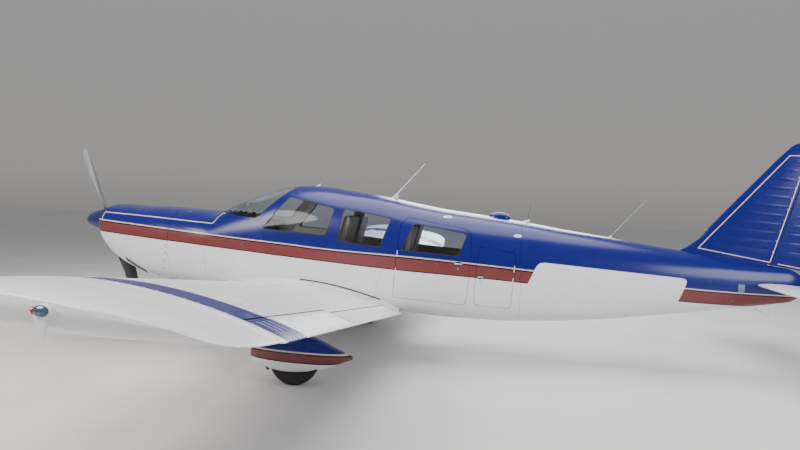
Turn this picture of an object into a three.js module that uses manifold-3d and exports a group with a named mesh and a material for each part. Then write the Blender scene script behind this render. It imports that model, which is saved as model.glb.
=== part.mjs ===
// A six-seat, single-engine, low-wing light aeroplane that stands on a fixed three-wheel undercarriage.
// Lengths are millimetres. +X points aft, +Y to the right-hand wing and +Z up; the tyres stand on Z = 0.
// Stations are inches aft of the datum, as in an airframe's own drawings; at() turns one into X.
import * as THREE from 'three';
import { mergeVertices } from 'three/addons/utils/BufferGeometryUtils.js';
import Module from 'manifold-3d';

const wasm = await Module();
wasm.setup();

// Driving dimensions
const inch = 25.4;
const degree = Math.PI / 180;
const datumToMiddle = 3876;
const at = (station) => station * inch - datumToMiddle;
const seatGap = 0.3;
const movingGap = 7;
const pinClearance = 0.3;
const pinSides = 24;
const roundSides = 14;
const attitude = 4.4 * degree;

// Fuselage: walls and rings
const ringPoints = 24;
const cornerBias = 0.03;
const cabinWall = 32;
const cowlWall = 24;
const noseWall = 26;
const tailWall = 6;
const skinWall = 4;
const tailBulkhead = 10;
const coneHollowEnd = 295;
const paneDepth = 4;
const paneThickness = 6;
const cowlFront = 0.8;
const firewallStation = 38.5;
const noseRear = 56.5;
const cabinRear = 188.4;
const coneEnd = 300.5;
// station, half width, bottom, top, height of the widest point, upper power, lower power
const fuselageSections = [
  [0.8, 330, 1195, 1485, 1350, 2.3, 2.2],
  [2.0, 390, 1100, 1530, 1335, 2.3, 2.2],
  [5.0, 432, 973, 1548, 1310, 2.3, 2.2],
  [10.0, 465, 873, 1548, 1270, 2.4, 2.2],
  [18.0, 500, 779, 1538, 1230, 2.4, 2.3],
  [28.0, 532, 703, 1540, 1200, 2.5, 2.4],
  [38.5, 556, 676, 1527, 1170, 2.6, 2.6],
  [48.0, 580, 660, 1514, 1140, 2.7, 2.8],
  [56.0, 596, 649, 1493, 1110, 2.8, 3.0],
  [61.6, 604, 641, 1570, 1080, 2.8, 3.0],
  [70.0, 615, 629, 1663, 1050, 2.8, 3.2],
  [78.4, 625, 620, 1745, 1030, 2.8, 3.3],
  [86.0, 633, 604, 1800, 1010, 2.9, 3.4],
  [93.3, 638, 589, 1821, 1000, 2.9, 3.5],
  [103.0, 640, 569, 1816, 990, 2.9, 3.5],
  [113.4, 640, 548, 1783, 980, 2.9, 3.5],
  [128.5, 632, 515, 1731, 965, 2.9, 3.4],
  [145.5, 612, 474, 1650, 950, 2.8, 3.3],
  [156.0, 590, 449, 1605, 940, 2.8, 3.2],
  [170.0, 552, 435, 1560, 930, 2.7, 3.0],
  [182.0, 514, 431, 1519, 925, 2.6, 2.9],
  [188.5, 494, 436, 1497, 922, 2.6, 2.8],
  [206.0, 432, 457, 1426, 918, 2.5, 2.7],
  [222.0, 376, 491, 1369, 916, 2.4, 2.6],
  [240.0, 314, 549, 1299, 918, 2.4, 2.5],
  [254.0, 262, 596, 1250, 920, 2.3, 2.4],
  [268.0, 205, 651, 1200, 924, 2.3, 2.4],
  [280.0, 152, 696, 1160, 928, 2.2, 2.3],
  [290.0, 104, 736, 1120, 932, 2.2, 2.2],
  [297.0, 70, 775, 1085, 935, 2.2, 2.2],
  [300.5, 34, 830, 1030, 936, 2.1, 2.1],
];

// Openings in side view: station and height in metres at each corner
const windshieldOutline = [
  [54, 1.95], [57.2, 1.494], [79.6, 1.436], [81.2, 1.512], [91.4, 1.757], [93, 1.95],
];
const cockpitWindow = [[81.3, 1.338], [109.3, 1.290], [112.1, 1.584], [91.4, 1.696]];
const middleWindow = [[113.9, 1.243], [131.8, 1.194], [136.0, 1.500], [115.5, 1.586]];
const rearWindow = [[140.3, 1.170], [163.7, 1.128], [166.9, 1.361], [144.9, 1.457]];
const frontDoorWindow = [[82.6, 1.335], [109.0, 1.290], [111.2, 1.575], [94.2, 1.668]];
const frontDoorOutline = [
  [78.47, 0.892], [112.2, 0.862], [113.4, 1.61], [110.6, 1.668], [92.6, 1.718], [79.74, 1.31],
];
const rearDoorOutline = [
  [137.6, 0.690], [167.0, 0.634], [169.3, 1.385], [165.6, 1.416], [142.4, 1.508], [139.9, 1.44],
];
// The door itself ends lower than its frame, to swing clear of the curved roof
const rearDoorLeaf = [
  [137.6, 0.690], [167.0, 0.634], [169.3, 1.379], [165.6, 1.410], [142.4, 1.502], [139.9, 1.44],
];
const utilityDoorOutline = [[169.8, 0.640], [184.6, 0.612], [186.3, 1.18], [171.6, 1.24]];
const baggageDoorOutline = [[41.2, 0.94], [54.2, 0.912], [54.2, 1.345], [41.2, 1.375]];
const windowRadius = 38;
const doorRadius = 45;
// Doors: side of the body, width, distance from the middle plane at which the free edge keeps its outline,
// the two corners on the hinge line, their distance from the middle plane, and the places of two knuckles
const doors = {
  front: {
    outline: frontDoorOutline, side: 1, width: 890, plane: 640, corners: [0, 5], hingeY: [634.2, 614.5],
    knuckles: [0.5, 0.82],
  },
  rear: {
    outline: rearDoorOutline, leaf: rearDoorLeaf, side: -1, width: 805, plane: 565, corners: [0, 5],
    hingeY: [-629.7, -603], knuckles: [0.36, 0.6],
  },
  utility: {
    outline: utilityDoorOutline, side: -1, width: 396, plane: 560, corners: [1, 2], hingeY: [-507.5, -495.5],
    knuckles: [0.5, 0.72],
  },
  baggage: {
    outline: baggageDoorOutline, side: 1, corners: [3, 2], hingeY: [499, 531], knuckles: [0.3, 0.7],
  },
};
const knuckleLength = 50;
const knuckleRadius = movingGap - seatGap;
const freeEdgeBevel = Math.tan(17 * degree);

// Cowling
const cowlSplitFront = 1228;
const cowlSplitRear = 1168;
const inlet = { y: 262, z: 1352, halfWidth: 92, halfHeight: 60 };
const legSlot = { from: 1.4, to: 13.6, halfWidth: 66 };
const cowlOutlet = { from: 28.2, to: 37.2, halfWidth: 260 };
const shaftHoleRadius = 92;

// Engine, propeller and spinner
const propAxisZ = 1352;
const propPlane = -2.2;
const bladeTilt = 32.5 * degree;
const hubRadius = 62;
const shaftRadius = 34;
const spinnerTip = -13.6;
const spinnerBase = 0.1;
const spinnerRadius = 140;
const spinnerWall = 5;
// distance from the axis, chord, thickness, pitch in degrees
const bladeSections = [
  [58, 84, 62, 40],
  [150, 104, 42, 36],
  [300, 145, 30, 28],
  [500, 168, 21, 20],
  [700, 166, 15, 13.5],
  [860, 146, 10, 10.5],
  [935, 112, 7, 9.5],
  [965, 56, 4, 9],
];
const exhaust = { station: 23, z: 925, pipeY: 150, radius: 26, wall: 6, mouthStation: 34.2, mouthZ: 658 };
const engine = {
  from: 7.2, to: 36, halfWidth: 360, bottom: 1020, top: 1440, chamfer: 120, noseRadius: 80, footRadius: 30,
};
const engineFeet = [[-220, 1090], [220, 1090], [-220, 1370], [220, 1370]];

// Wing
const wing = {
  chord: 1600,
  rootY: 622,
  trailingStation: 141.4,
  trailingZ: 525,
  dihedral: 6.92 * degree,
  incidence: 5.6 * degree,
  thickness: 0.15,
  lift: 0.4,
  surfacePoints: 9,
  gloveLength: 380,
  gloveSpan: 640,
  tipFrom: 3668,
  tipTo: 4414,
};
const pinRadius = 7;
const flap = { from: 56, to: 2152, hinge: 1410, pinTo: 49.3 };
const aileron = { from: 2160, to: 3660, hinge: 1362, pinTo: 3667.7 };
// fraction of the tip's length, nose set back, tail moved aft, thickness scale, height it shrinks towards
const tipSections = [
  [0.0, 0, 0, 1.0, 20],
  [0.09, 0, 0, 1.0, 24],
  [0.105, 1, -18, 0.995, 30],
  [0.3, 8, -20, 0.97, 60],
  [0.55, 40, -28, 0.9, 76],
  [0.75, 95, -50, 0.8, 84],
  [0.88, 157, -92, 0.66, 86],
  [0.96, 218, -155, 0.47, 86],
  [1.0, 292, -245, 0.24, 86],
];

// Tail
const fin = { hingeFoot: [288.7, 1120], hingeTop: [302.8, 2393], rudderPinTop: 1190 };
// The rudder's lower edge, from ahead of its post to its tail: station, height
const rudderFoot = [[287.9, 1137], [308.8, 1048]];
// height, leading station, trailing station, half thickness
const finSections = [
  [1000, 249.0, 306.6, 46],
  [1235, 251.5, 308.8, 44],
  [1300, 256.0, 309.4, 43],
  [1383, 260.3, 310.2, 42],
  [1527, 265.0, 311.5, 41],
  [2062, 283.5, 316.6, 32],
  [2320, 292.7, 318.8, 27],
  [2378, 295.0, 318.2, 22],
  [2393, 297.6, 316.0, 10],
];
const stabilator = {
  chord: 800,
  halfSpan: 1960,
  leadingStation: 281.5,
  leadingZ: 938,
  hinge: 204,
  thickness: 0.085,
  tubeRadius: 28,
  tubeHalf: 230,
};
const notch = { frontStation: 279, frontHalf: 178, rearStation: 303.2, rearHalf: 80 };
const tab = { hinge: 688, halfSpan: 1080, pinRadius: 5 };

// Wheels and undercarriage
const axleZ = 222.5;
const mainStation = 109.7;
const noseStation = 16;
const track = 3221;
const tyre = { outer: 222.5, half: 80, beadRadius: 83.9, beadHalf: 50 };
const hub = { rimRadius: 83.5, half: 62, boreRadius: 20.8 };
const axleRadius = 20;
const wheelSides = 20;
const pantSides = 16;
const pant = { front: 93.6, rear: 130.6, half: 136, bottom: 104, top: 486, noseZ: 262, tailZ: 272 };
const wheelWell = { radius: 238, half: 94 };
const mainLeg = { inset: 178, pistonRadius: 30, cylinderRadius: 45, foot: 180, collar: 400, top: 700 };
// part of the length, shares of the full width, of the depth above and of the depth below
const pantFullness = [
  [0, 0.08, 0.08, 0.1],
  [0.05, 0.42, 0.42, 0.48],
  [0.16, 0.74, 0.76, 0.85],
  [0.32, 0.95, 0.97, 1],
  [0.48, 1, 0.95, 1],
  [0.64, 0.92, 0.7, 0.88],
  [0.8, 0.68, 0.38, 0.56],
  [0.92, 0.36, 0.17, 0.26],
  [1, 0.08, 0.05, 0.08],
];
const pantMiddleZ = 290;
const pantSquareness = 0.8;
const nosePant = { lengthAhead: 430, lengthBehind: 560, top: 548, half: 142, noseZ: 262, tailZ: 330 };
const noseWell = { radius: 240, half: 104.6, crownHalf: 56, crownTop: 514, legHole: 58 };
const noseLeg = { topStation: 6.0, topZ: 1010, tubeRadius: 38, pistonRadius: 30, foot: 522 };
// height, reach ahead, reach behind, half width
const noseLegFairing = [
  [575, 92, 52, 40],
  [700, 97, 58, 42],
  [880, 106, 68, 44],
];
const fork = { crownZ: 482, crown: [68, 208, 26], bladeY: 98, bladeHalf: 6, axleHalf: 104 };
// height, reach ahead and behind
const forkBlade = [[axleZ - 30, 24], [axleZ + 30, 28], [400, 26], [482, 30]];

// Roof fittings and beacon
const antenna = {
  station: 132.6, roof: 1709, tipStation: 146.3, tipZ: 2099, footRadius: 16, whipRadius: 8, tipRadius: 3,
};
const scoop = { half: 62, z: 1530 };
// station, share of the full section
const scoopSections = [[174.2, 0.1], [175.2, 0.55], [177.0, 0.9], [179.5, 1], [182.0, 0.8], [183.7, 0.12]];
// radius and height up the beacon
const beacon = { station: 299.6, profile: [[0, 0], [13, 0], [13, 5], [10, 11], [5, 15.5], [0, 17]] };

// Cabin furniture
const floor = { frontStation: 61, frontZ: 770, rearStation: 187, rearZ: 545, thickness: 26 };
const panelGap = 2.3;
const panel = {
  station: 72, thickness: 30, halfWidth: 620, bottom: 1035, top: 1425, shelfFront: 57.4, hood: 60,
};
const yoke = { y: 280, z: 1215, reach: 210, tubeRadius: 13, half: 14, span: 130, hornTop: 95 };
// name, station of the front edge, middles of its cushions across the cabin, width, height of the back
const seatRows = [
  ['front_left_seat', 92.0, [-284], 450, 520],
  ['front_right_seat', 92.0, [284], 450, 520],
  ['middle_seats', 118.5, [-262, 262], 420, 480],
  ['rear_seats', 143.0, [0], 816, 420],
];
const seat = {
  cushionLength: 470, cushionHeight: 315, thickness: 110, recline: 0.2, backTop: 15, dip: 20, cornerRadius: 40,
  standFront: 60, standRear: 38, legInset: 55, legHalf: 14, legDepth: 34,
};

// Materials
const colours = {
  white: [0xe9e9ec, 0.28, 0.1],
  blue: [0x14216e, 0.25, 0.1],
  dark: [0x11131c, 0.45, 0.2],
  grey: [0x3a3d42, 0.4, 0.4],
  steel: [0x8b8d90, 0.35, 0.9],
  iron: [0x55565a, 0.6, 0.6],
  rubber: [0x17171a, 0.85, 0.0],
  glass: [0x9fb4c4, 0.05, 0.0],
  cloth: [0x9c8f80, 0.9, 0.0],
  carpet: [0x4a4640, 0.95, 0.0],
  red: [0xb02020, 0.3, 0.0],
};

// Solids from three.js geometry
function signedVolume(positions, index) {
  const a = new THREE.Vector3();
  const b = new THREE.Vector3();
  const c = new THREE.Vector3();
  let sum = 0;
  for (let k = 0; k < index.length; k += 3) {
    a.fromArray(positions, 3 * index[k]);
    b.fromArray(positions, 3 * index[k + 1]);
    c.fromArray(positions, 3 * index[k + 2]);
    sum += a.dot(b.cross(c));
  }
  return sum;
}

function toSolid(geometry) {
  let merged = geometry.clone();
  merged.deleteAttribute('normal');
  merged.deleteAttribute('uv');
  merged = mergeVertices(merged, 1e-4);
  const vertProperties = new Float32Array(merged.attributes.position.array);
  const triVerts = new Uint32Array(merged.index.array);
  if (signedVolume(vertProperties, triVerts) < 0) {
    for (let k = 0; k < triVerts.length; k += 3) {
      const swap = triVerts[k];
      triVerts[k] = triVerts[k + 1];
      triVerts[k + 1] = swap;
    }
  }
  return new wasm.Manifold(new wasm.Mesh({ numProp: 3, vertProperties, triVerts }));
}

function toGeometry(solid) {
  const mesh = solid.getMesh();
  const geometry = new THREE.BufferGeometry();
  const step = mesh.numProp;
  const positions = new Float32Array((mesh.vertProperties.length / step) * 3);
  for (let k = 0; k < positions.length / 3; k++) {
    positions.set(mesh.vertProperties.subarray(k * step, k * step + 3), 3 * k);
  }
  geometry.setAttribute('position', new THREE.BufferAttribute(positions, 3));
  geometry.setIndex(new THREE.BufferAttribute(new Uint32Array(mesh.triVerts), 1));
  geometry.computeVertexNormals();
  return geometry;
}

// A closed skin through rings of equal length, with a fan or the given triangles on each end
function loft(rings, endFaces) {
  const count = rings[0].length;
  const positions = [];
  const index = [];
  for (const ring of rings) for (const point of ring) positions.push(point.x, point.y, point.z);
  for (let r = 0; r + 1 < rings.length; r++) {
    for (let k = 0; k < count; k++) {
      const next = (k + 1) % count;
      const a = r * count + k;
      const b = r * count + next;
      index.push(a, b, b + count, a, b + count, a + count);
    }
  }
  const ends = [[0, true], [rings.length - 1, false]];
  if (endFaces) {
    for (const [r, flip] of ends) {
      for (const [a, b, c] of endFaces) {
        const corners = flip ? [a, c, b] : [a, b, c];
        index.push(...corners.map((corner) => r * count + corner));
      }
    }
    ends.length = 0;
  }
  for (const [r, flip] of ends) {
    const middle = rings[r].reduce((sum, p) => sum.add(p), new THREE.Vector3()).divideScalar(count);
    const centre = positions.length / 3;
    positions.push(middle.x, middle.y, middle.z);
    for (let k = 0; k < count; k++) {
      const a = r * count + k;
      const b = r * count + ((k + 1) % count);
      if (flip) index.push(centre, b, a);
      else index.push(centre, a, b);
    }
  }
  const geometry = new THREE.BufferGeometry();
  geometry.setAttribute('position', new THREE.Float32BufferAttribute(positions, 3));
  geometry.setIndex(index);
  return toSolid(geometry);
}

function box(x0, x1, y0, y1, z0, z1) {
  const geometry = new THREE.BoxGeometry(x1 - x0, y1 - y0, z1 - z0);
  geometry.translate((x0 + x1) / 2, (y0 + y1) / 2, (z0 + z1) / 2);
  return toSolid(geometry);
}

// A round bar or cone between two points
function rod(from, to, radius, radiusTo = radius, sides = roundSides) {
  const along = new THREE.Vector3().subVectors(to, from);
  const geometry = new THREE.CylinderGeometry(radiusTo, radius, along.length(), sides);
  geometry.translate(0, along.length() / 2, 0);
  const turn = new THREE.Quaternion().setFromUnitVectors(new THREE.Vector3(0, 1, 0), along.normalize());
  geometry.applyQuaternion(turn);
  geometry.translate(from.x, from.y, from.z);
  return toSolid(geometry);
}

// A hole for a round bar; the flats of its sides, and not their corners, keep the clearance
function bore(from, to, radius, radiusTo = radius, sides = roundSides) {
  const spread = Math.cos(Math.PI / sides);
  return rod(from, to, radius / spread, radiusTo / spread, sides);
}

const vec = (x, y, z) => new THREE.Vector3(x, y, z);

// Moves every edge of a convex outline outwards by a distance
function grow(outline, distance) {
  let area = 0;
  outline.forEach(([x, y], k) => {
    const [u, v] = outline[(k + 1) % outline.length];
    area += x * v - u * y;
  });
  const turn = Math.sign(area);
  const edges = outline.map(([x, y], k) => {
    const [u, v] = outline[(k + 1) % outline.length];
    const length = Math.hypot(u - x, v - y);
    const normal = [(turn * (v - y)) / length, (-turn * (u - x)) / length];
    return { normal, offset: normal[0] * x + normal[1] * y + distance };
  });
  return edges.map((edge, k) => {
    const before = edges[(k + edges.length - 1) % edges.length];
    const cross = before.normal[0] * edge.normal[1] - before.normal[1] * edge.normal[0];
    const x = (before.offset * edge.normal[1] - edge.offset * before.normal[1]) / cross;
    const y = (before.normal[0] * edge.offset - edge.normal[0] * before.offset) / cross;
    return [x, y];
  });
}

// Points of an outline with rounded corners
function rounded(outline, radius, steps = 2) {
  const points = [];
  outline.forEach((corner, k) => {
    const before = new THREE.Vector2(...outline[(k + outline.length - 1) % outline.length]);
    const here = new THREE.Vector2(...corner);
    const after = new THREE.Vector2(...outline[(k + 1) % outline.length]);
    const back = before.clone().sub(here);
    const ahead = after.clone().sub(here);
    const reach = Math.min(radius, back.length() * 0.45, ahead.length() * 0.45);
    const start = here.clone().add(back.setLength(reach));
    const end = here.clone().add(ahead.setLength(reach));
    const curve = new THREE.QuadraticBezierCurve(start, here, end);
    for (const point of curve.getPoints(steps)) points.push([point.x, point.y]);
  });
  return points;
}

// The outlines in side view are stations and metres; this gives millimetres
const sideView = (outline) => outline.map(([station, z]) => [at(station), z * 1000]);

// A side-view outline carried across from one Y to another; shift moves its X at each end
function across(outline, fromY, toY, shift = (x) => x) {
  const ringAt = (y) => outline.map(([x, z]) => vec(shift(x, Math.abs(y), z), y, z));
  const corners = outline.map(([x, z]) => new THREE.Vector2(x, z));
  const endFaces = THREE.ShapeUtils.triangulateShape(corners, []).map((face) => face.sort((a, b) => a - b));
  return loft([ringAt(fromY), ringAt(toY)], endFaces);
}

// Fuselage
function sectionAt(x) {
  const station = (x + datumToMiddle) / inch;
  const last = fuselageSections.length - 2;
  let row = 0;
  while (row < last && fuselageSections[row + 1][0] < station) row++;
  const low = fuselageSections[row];
  const high = fuselageSections[row + 1];
  const part = (station - low[0]) / (high[0] - low[0]);
  return low.map((value, k) => value + (high[k] - value) * part);
}

function fuselageRing(x, inset) {
  const [, halfWidth, bottom, top, waist, upper, lower] = sectionAt(x);
  const points = [];
  for (let k = 0; k < ringPoints; k++) {
    const even = (2 * Math.PI * k) / ringPoints;
    const angle = even + cornerBias * Math.sin(4 * even);
    const c = Math.cos(angle);
    const s = Math.sin(angle);
    const power = s >= 0 ? upper : lower;
    const height = s >= 0 ? top - inset - waist : waist - bottom - inset;
    const reach = (Math.abs(c) ** power + Math.abs(s) ** power) ** (-1 / power);
    points.push(vec(x, (halfWidth - inset) * reach * c, waist + height * reach * s));
  }
  return points;
}

function hull(fromX, toX, inset) {
  const stops = fuselageSections.map(([station]) => at(station)).filter((x) => x > fromX + 2 && x < toX - 2);
  return loft([fromX, ...stops, toX].map((x) => fuselageRing(x, inset)));
}

const shell = (fromX, toX, wall, fromWall, toWall) =>
  hull(fromX, toX, 0).subtract(hull(fromX + fromWall, toX + toWall, wall));

// Airfoil ordinates as fractions of the chord
function halfThickness(fraction, thickness) {
  const x = fraction ** 1.2;
  const curve = 0.2969 * Math.sqrt(x) - 0.126 * x - 0.3516 * x ** 2 + 0.2843 * x ** 3 - 0.1015 * x ** 4;
  return 5 * thickness * curve;
}

function camber(fraction, lift) {
  if (fraction <= 0 || fraction >= 1) return 0;
  const rest = 1 - fraction;
  return (-lift / (4 * Math.PI)) * (rest * Math.log(rest) + fraction * Math.log(fraction));
}

// Chord positions and heights round a section, from the tail over the top and back below
function airfoil(chord, thickness, lift, count) {
  const points = [];
  const fractionAt = (k) => 0.5 - 0.5 * Math.cos((Math.PI * k) / (count - 1));
  for (let k = count - 1; k >= 0; k--) {
    const f = fractionAt(k);
    points.push([f * chord, camber(f, lift) * chord + halfThickness(f, thickness) * chord]);
  }
  for (let k = 1; k < count; k++) {
    const f = fractionAt(k);
    points.push([f * chord, camber(f, lift) * chord - halfThickness(f, thickness) * chord]);
  }
  return points;
}

// Wing: a point from its place along the chord, along the span and above the chord line
const wingPoint = (side) => (c, s, h) => {
  const ahead = wing.chord - c;
  const n = ahead * Math.sin(wing.incidence) + h * Math.cos(wing.incidence);
  const x = at(wing.trailingStation) - ahead * Math.cos(wing.incidence) + h * Math.sin(wing.incidence);
  const y = wing.rootY + s * Math.cos(wing.dihedral) - n * Math.sin(wing.dihedral);
  return vec(x, side * y, wing.trailingZ + s * Math.sin(wing.dihedral) + n * Math.cos(wing.dihedral));
};

const wingOutline = airfoil(wing.chord, wing.thickness, wing.lift, wing.surfacePoints);

function wingRing(side, s) {
  const place = wingPoint(side);
  const extension = wing.gloveLength * Math.max(0, 1 - s / wing.gloveSpan);
  const reach = 0.4 * wing.chord;
  return wingOutline.map(([c, h]) => place(c < reach ? c - extension * (1 - c / reach) : c, s, h));
}

const wingBlock = (side, c0, c1, s0, s1, h0, h1) => {
  const place = wingPoint(side);
  const corners = [[c0, h0], [c1, h0], [c1, h1], [c0, h1]];
  return loft([s0, s1].map((s) => corners.map(([c, h]) => place(c, s, h))));
};

// Height of the middle and half the depth of the wing section at a hinge line
function hingeDepth(c) {
  const f = c / wing.chord;
  const half = halfThickness(f, wing.thickness) * wing.chord - 1;
  return { middle: camber(f, wing.lift) * wing.chord, half };
}

function hingeRod(side, control, s0, s1, make, extra = 0) {
  const place = wingPoint(side);
  const { middle, half } = hingeDepth(control.hinge);
  return make(place(control.hinge, s0, middle), place(control.hinge, s1, middle), half + extra);
}

function controlCut(side, control, s0, s1) {
  const behind = wingBlock(side, control.hinge, wing.chord + 60, s0, s1, -200, 200);
  return behind.add(hingeRod(side, control, s0, s1, bore, movingGap));
}

function controlSurface(side, control) {
  const place = wingPoint(side);
  const { middle } = hingeDepth(control.hinge);
  const slab = loft([wingRing(side, control.from), wingRing(side, control.to)]);
  const behind = wingBlock(side, control.hinge, wing.chord + 60, control.from - 5, control.to + 5, -200, 200);
  const onHingeLine = (s) => place(control.hinge, s, middle);
  const pin = rod(onHingeLine(control.from + 10), onHingeLine(control.pinTo), pinRadius);
  return slab.intersect(behind).add(hingeRod(side, control, control.from, control.to, rod)).add(pin);
}

function mainWing(side) {
  const stops = [-150, 0, wing.gloveSpan / 2, wing.gloveSpan, wing.tipFrom - seatGap];
  return loft(stops.map((s) => wingRing(side, s)))
    .subtract(hull(at(40), at(186), -seatGap))
    .subtract(controlCut(side, flap, flap.from - movingGap, aileron.from + 20))
    .subtract(controlCut(side, aileron, aileron.from - movingGap, wing.tipFrom + 20))
    .subtract(legSocket(side, seatGap));
}

function wingTip(side) {
  const place = wingPoint(side);
  const rings = tipSections.map(([part, back, aft, scale, middle]) => {
    const s = wing.tipFrom + part * (wing.tipTo - wing.tipFrom);
    const stretch = (wing.chord - back + aft) / wing.chord;
    return wingOutline.map(([c, h]) => place(back + c * stretch, s, middle + (h - middle) * scale));
  });
  return loft(rings);
}

// Stabilator
const stabPoint = (c, y, h) =>
  vec(
    at(stabilator.leadingStation) + c * Math.cos(attitude) + h * Math.sin(attitude),
    y,
    stabilator.leadingZ - c * Math.sin(attitude) + h * Math.cos(attitude),
  );

function stabilatorBlade() {
  const outline = airfoil(stabilator.chord, stabilator.thickness, 0, 10);
  const half = stabilator.halfSpan;
  const ringAt = (y, back, scale) =>
    outline.map(([c, h]) => stabPoint(back + c * (1 - back / stabilator.chord), y, h * scale));
  const ends = [[half, 90, 0.25], [half - 12, 50, 0.62], [half - 45, 18, 0.88], [half - 110, 0, 1]];
  return loft([
    ...ends.map(([y, back, scale]) => ringAt(-y, back, scale)),
    ...ends.toReversed().map(([y, back, scale]) => ringAt(y, back, scale)),
  ]);
}

const stabBlock = (c0, c1, y0, y1) =>
  loft([y0, y1].map((y) => [[c0, -90], [c1, -90], [c1, 90], [c0, 90]].map(([c, h]) => stabPoint(c, y, h))));

const stabHalfDepth = (c) => halfThickness(c / stabilator.chord, stabilator.thickness) * stabilator.chord;
const tabHalfDepth = stabHalfDepth(tab.hinge) - 0.5;
const tabGap = 5.5;
const tabPinReach = tab.halfSpan + tabGap;

const tabRod = (reach, make, extra = 0) =>
  make(stabPoint(tab.hinge, -reach, 0), stabPoint(tab.hinge, reach, 0), tabHalfDepth + extra);

function stabilatorSolid() {
  const plan = [
    [at(notch.frontStation), notch.frontHalf],
    [at(notch.rearStation), notch.rearHalf],
    [at(notch.rearStation), -notch.rearHalf],
    [at(notch.frontStation), -notch.frontHalf],
  ];
  const notchSolid = loft([700, 1150].map((z) => plan.map(([x, y]) => vec(x, y, z))));
  const tube = rod(
    stabPoint(stabilator.hinge, -stabilator.tubeHalf, 0),
    stabPoint(stabilator.hinge, stabilator.tubeHalf, 0),
    stabilator.tubeRadius,
    stabilator.tubeRadius,
    pinSides,
  );
  const reach = tabPinReach + seatGap;
  return stabilatorBlade()
    .subtract(notchSolid)
    .subtract(stabBlock(tab.hinge, stabilator.chord + 50, -reach, reach))
    .subtract(tabRod(reach, bore, tabGap))
    .subtract(stabilatorHollow(-1))
    .subtract(stabilatorHollow(1))
    .add(tube);
}

const stabHollow = { stops: [70, 204, 330, 470, 640], from: 202, to: 1840, holeChord: 430, holeRadius: 17 };

// The hollow of each half, between its spars, with a round hole in the root rib
function stabilatorHollow(side) {
  const upper = stabHollow.stops.map((c) => [c, stabHalfDepth(c) - skinWall]);
  const outline = [...upper, ...upper.toReversed().map(([c, h]) => [c, -h])];
  const ringAt = (y) => outline.map(([c, h]) => stabPoint(c, side * y, h));
  const room = loft([ringAt(stabHollow.from), ringAt(stabHollow.to)]);
  const holeAt = (y) => stabPoint(stabHollow.holeChord, side * y, 0);
  return room.add(rod(holeAt(stabHollow.from - 112), holeAt(stabHollow.from + 8), stabHollow.holeRadius));
}

const tabSolid = () =>
  stabilatorBlade().intersect(stabBlock(tab.hinge, stabilator.chord + 50, -tab.halfSpan, tab.halfSpan))
    .add(tabRod(tab.halfSpan, rod))
    .add(rod(stabPoint(tab.hinge, -tabPinReach, 0), stabPoint(tab.hinge, tabPinReach, 0), tab.pinRadius));

// Fin and rudder
const hingeFoot = vec(at(fin.hingeFoot[0]), 0, fin.hingeFoot[1]);
const hingeTop = vec(at(fin.hingeTop[0]), 0, fin.hingeTop[1]);
const rudderRadiusFoot = 35;
const rudderRadiusTop = 26;
const rudderPinRadius = 10;

function finBlade() {
  const outline = airfoil(1, 0.5, 0, 10);
  return loft(
    finSections.map(([z, leading, trailing, half]) => {
      const chord = (trailing - leading) * inch;
      return outline.map(([c, h]) => vec(at(leading) + c * chord, (h / 0.25) * half, z));
    }),
  );
}

const hingeSlope = (hingeTop.x - hingeFoot.x) / (hingeTop.z - hingeFoot.z);
const hingeX = (z) => hingeFoot.x + hingeSlope * (z - hingeFoot.z);

// Everything behind the sloping hinge line
const behindHinge = () =>
  across([[hingeX(900), 900], [at(330), 900], [at(330), 2500], [hingeX(2500), 2500]], -120, 120);

function finHalf(x, z) {
  let row = 0;
  while (row < finSections.length - 2 && finSections[row + 1][0] < z) row++;
  const [low, high] = [finSections[row], finSections[row + 1]];
  const share = (z - low[0]) / (high[0] - low[0]);
  const [, leading, trailing, halfDepth] = low.map((value, k) => value + (high[k] - value) * share);
  const part = (x - at(leading)) / ((trailing - leading) * inch);
  const depth = (halfThickness(part, 0.5) / 0.25) * halfDepth;
  return { leading: at(leading), trailing: at(trailing), depth };
}

// A hollow between two heights, from a distance behind one edge to a distance before another
function finHollow(heights, frontAt, rearAt) {
  return loft(heights.map((z) => {
    const front = frontAt(z);
    const rear = rearAt(z);
    const stops = [front, front * 0.6 + rear * 0.4, rear];
    const upper = stops.map((x) => [x, Math.max(3, finHalf(x, z).depth - skinWall)]);
    const outline = [...upper, ...upper.toReversed().map(([x, y]) => [x, -y])];
    return outline.map(([x, y]) => vec(x, y, z));
  }));
}

const hingePost = (make, extra = 0) => {
  const along = hingeTop.clone().sub(hingeFoot).normalize();
  const foot = hingeFoot.clone().addScaledVector(along, -120);
  const top = hingeTop.clone().addScaledVector(along, 60);
  return make(foot, top, rudderRadiusFoot + extra, rudderRadiusTop + extra);
};

const onHinge = (z) => vec(hingeX(z), 0, z);

const rudderPin = (make, extra = 0) =>
  make(onHinge(1060), onHinge(fin.rudderPinTop), rudderPinRadius + extra);

const finRoom = () =>
  finHollow([1090, 1300, 1527, 2062, 2300], (z) => finHalf(hingeX(z), z).leading + 60, (z) => hingeX(z) - 56);

const rudderRoom = () =>
  finHollow([1166, 1527, 2062, 2320], (z) => hingeX(z) + 26, (z) => finHalf(hingeX(z), z).trailing - 100)
    .add(rod(vec(hingeX(1150) + 70, 0, 1080), vec(hingeX(1150) + 70, 0, 1200), 15, 15, 12));

const finSolid = () =>
  finBlade()
    .subtract(finRoom())
    .subtract(behindHinge())
    .subtract(hingePost(bore, movingGap + 0.5))
    .subtract(hull(at(240), at(coneEnd), -seatGap))
    .subtract(box(at(240), at(320), -100, 100, 900, 1100))
    .subtract(box(at(286.5), at(300), -100, 100, 900, 1146));

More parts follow.
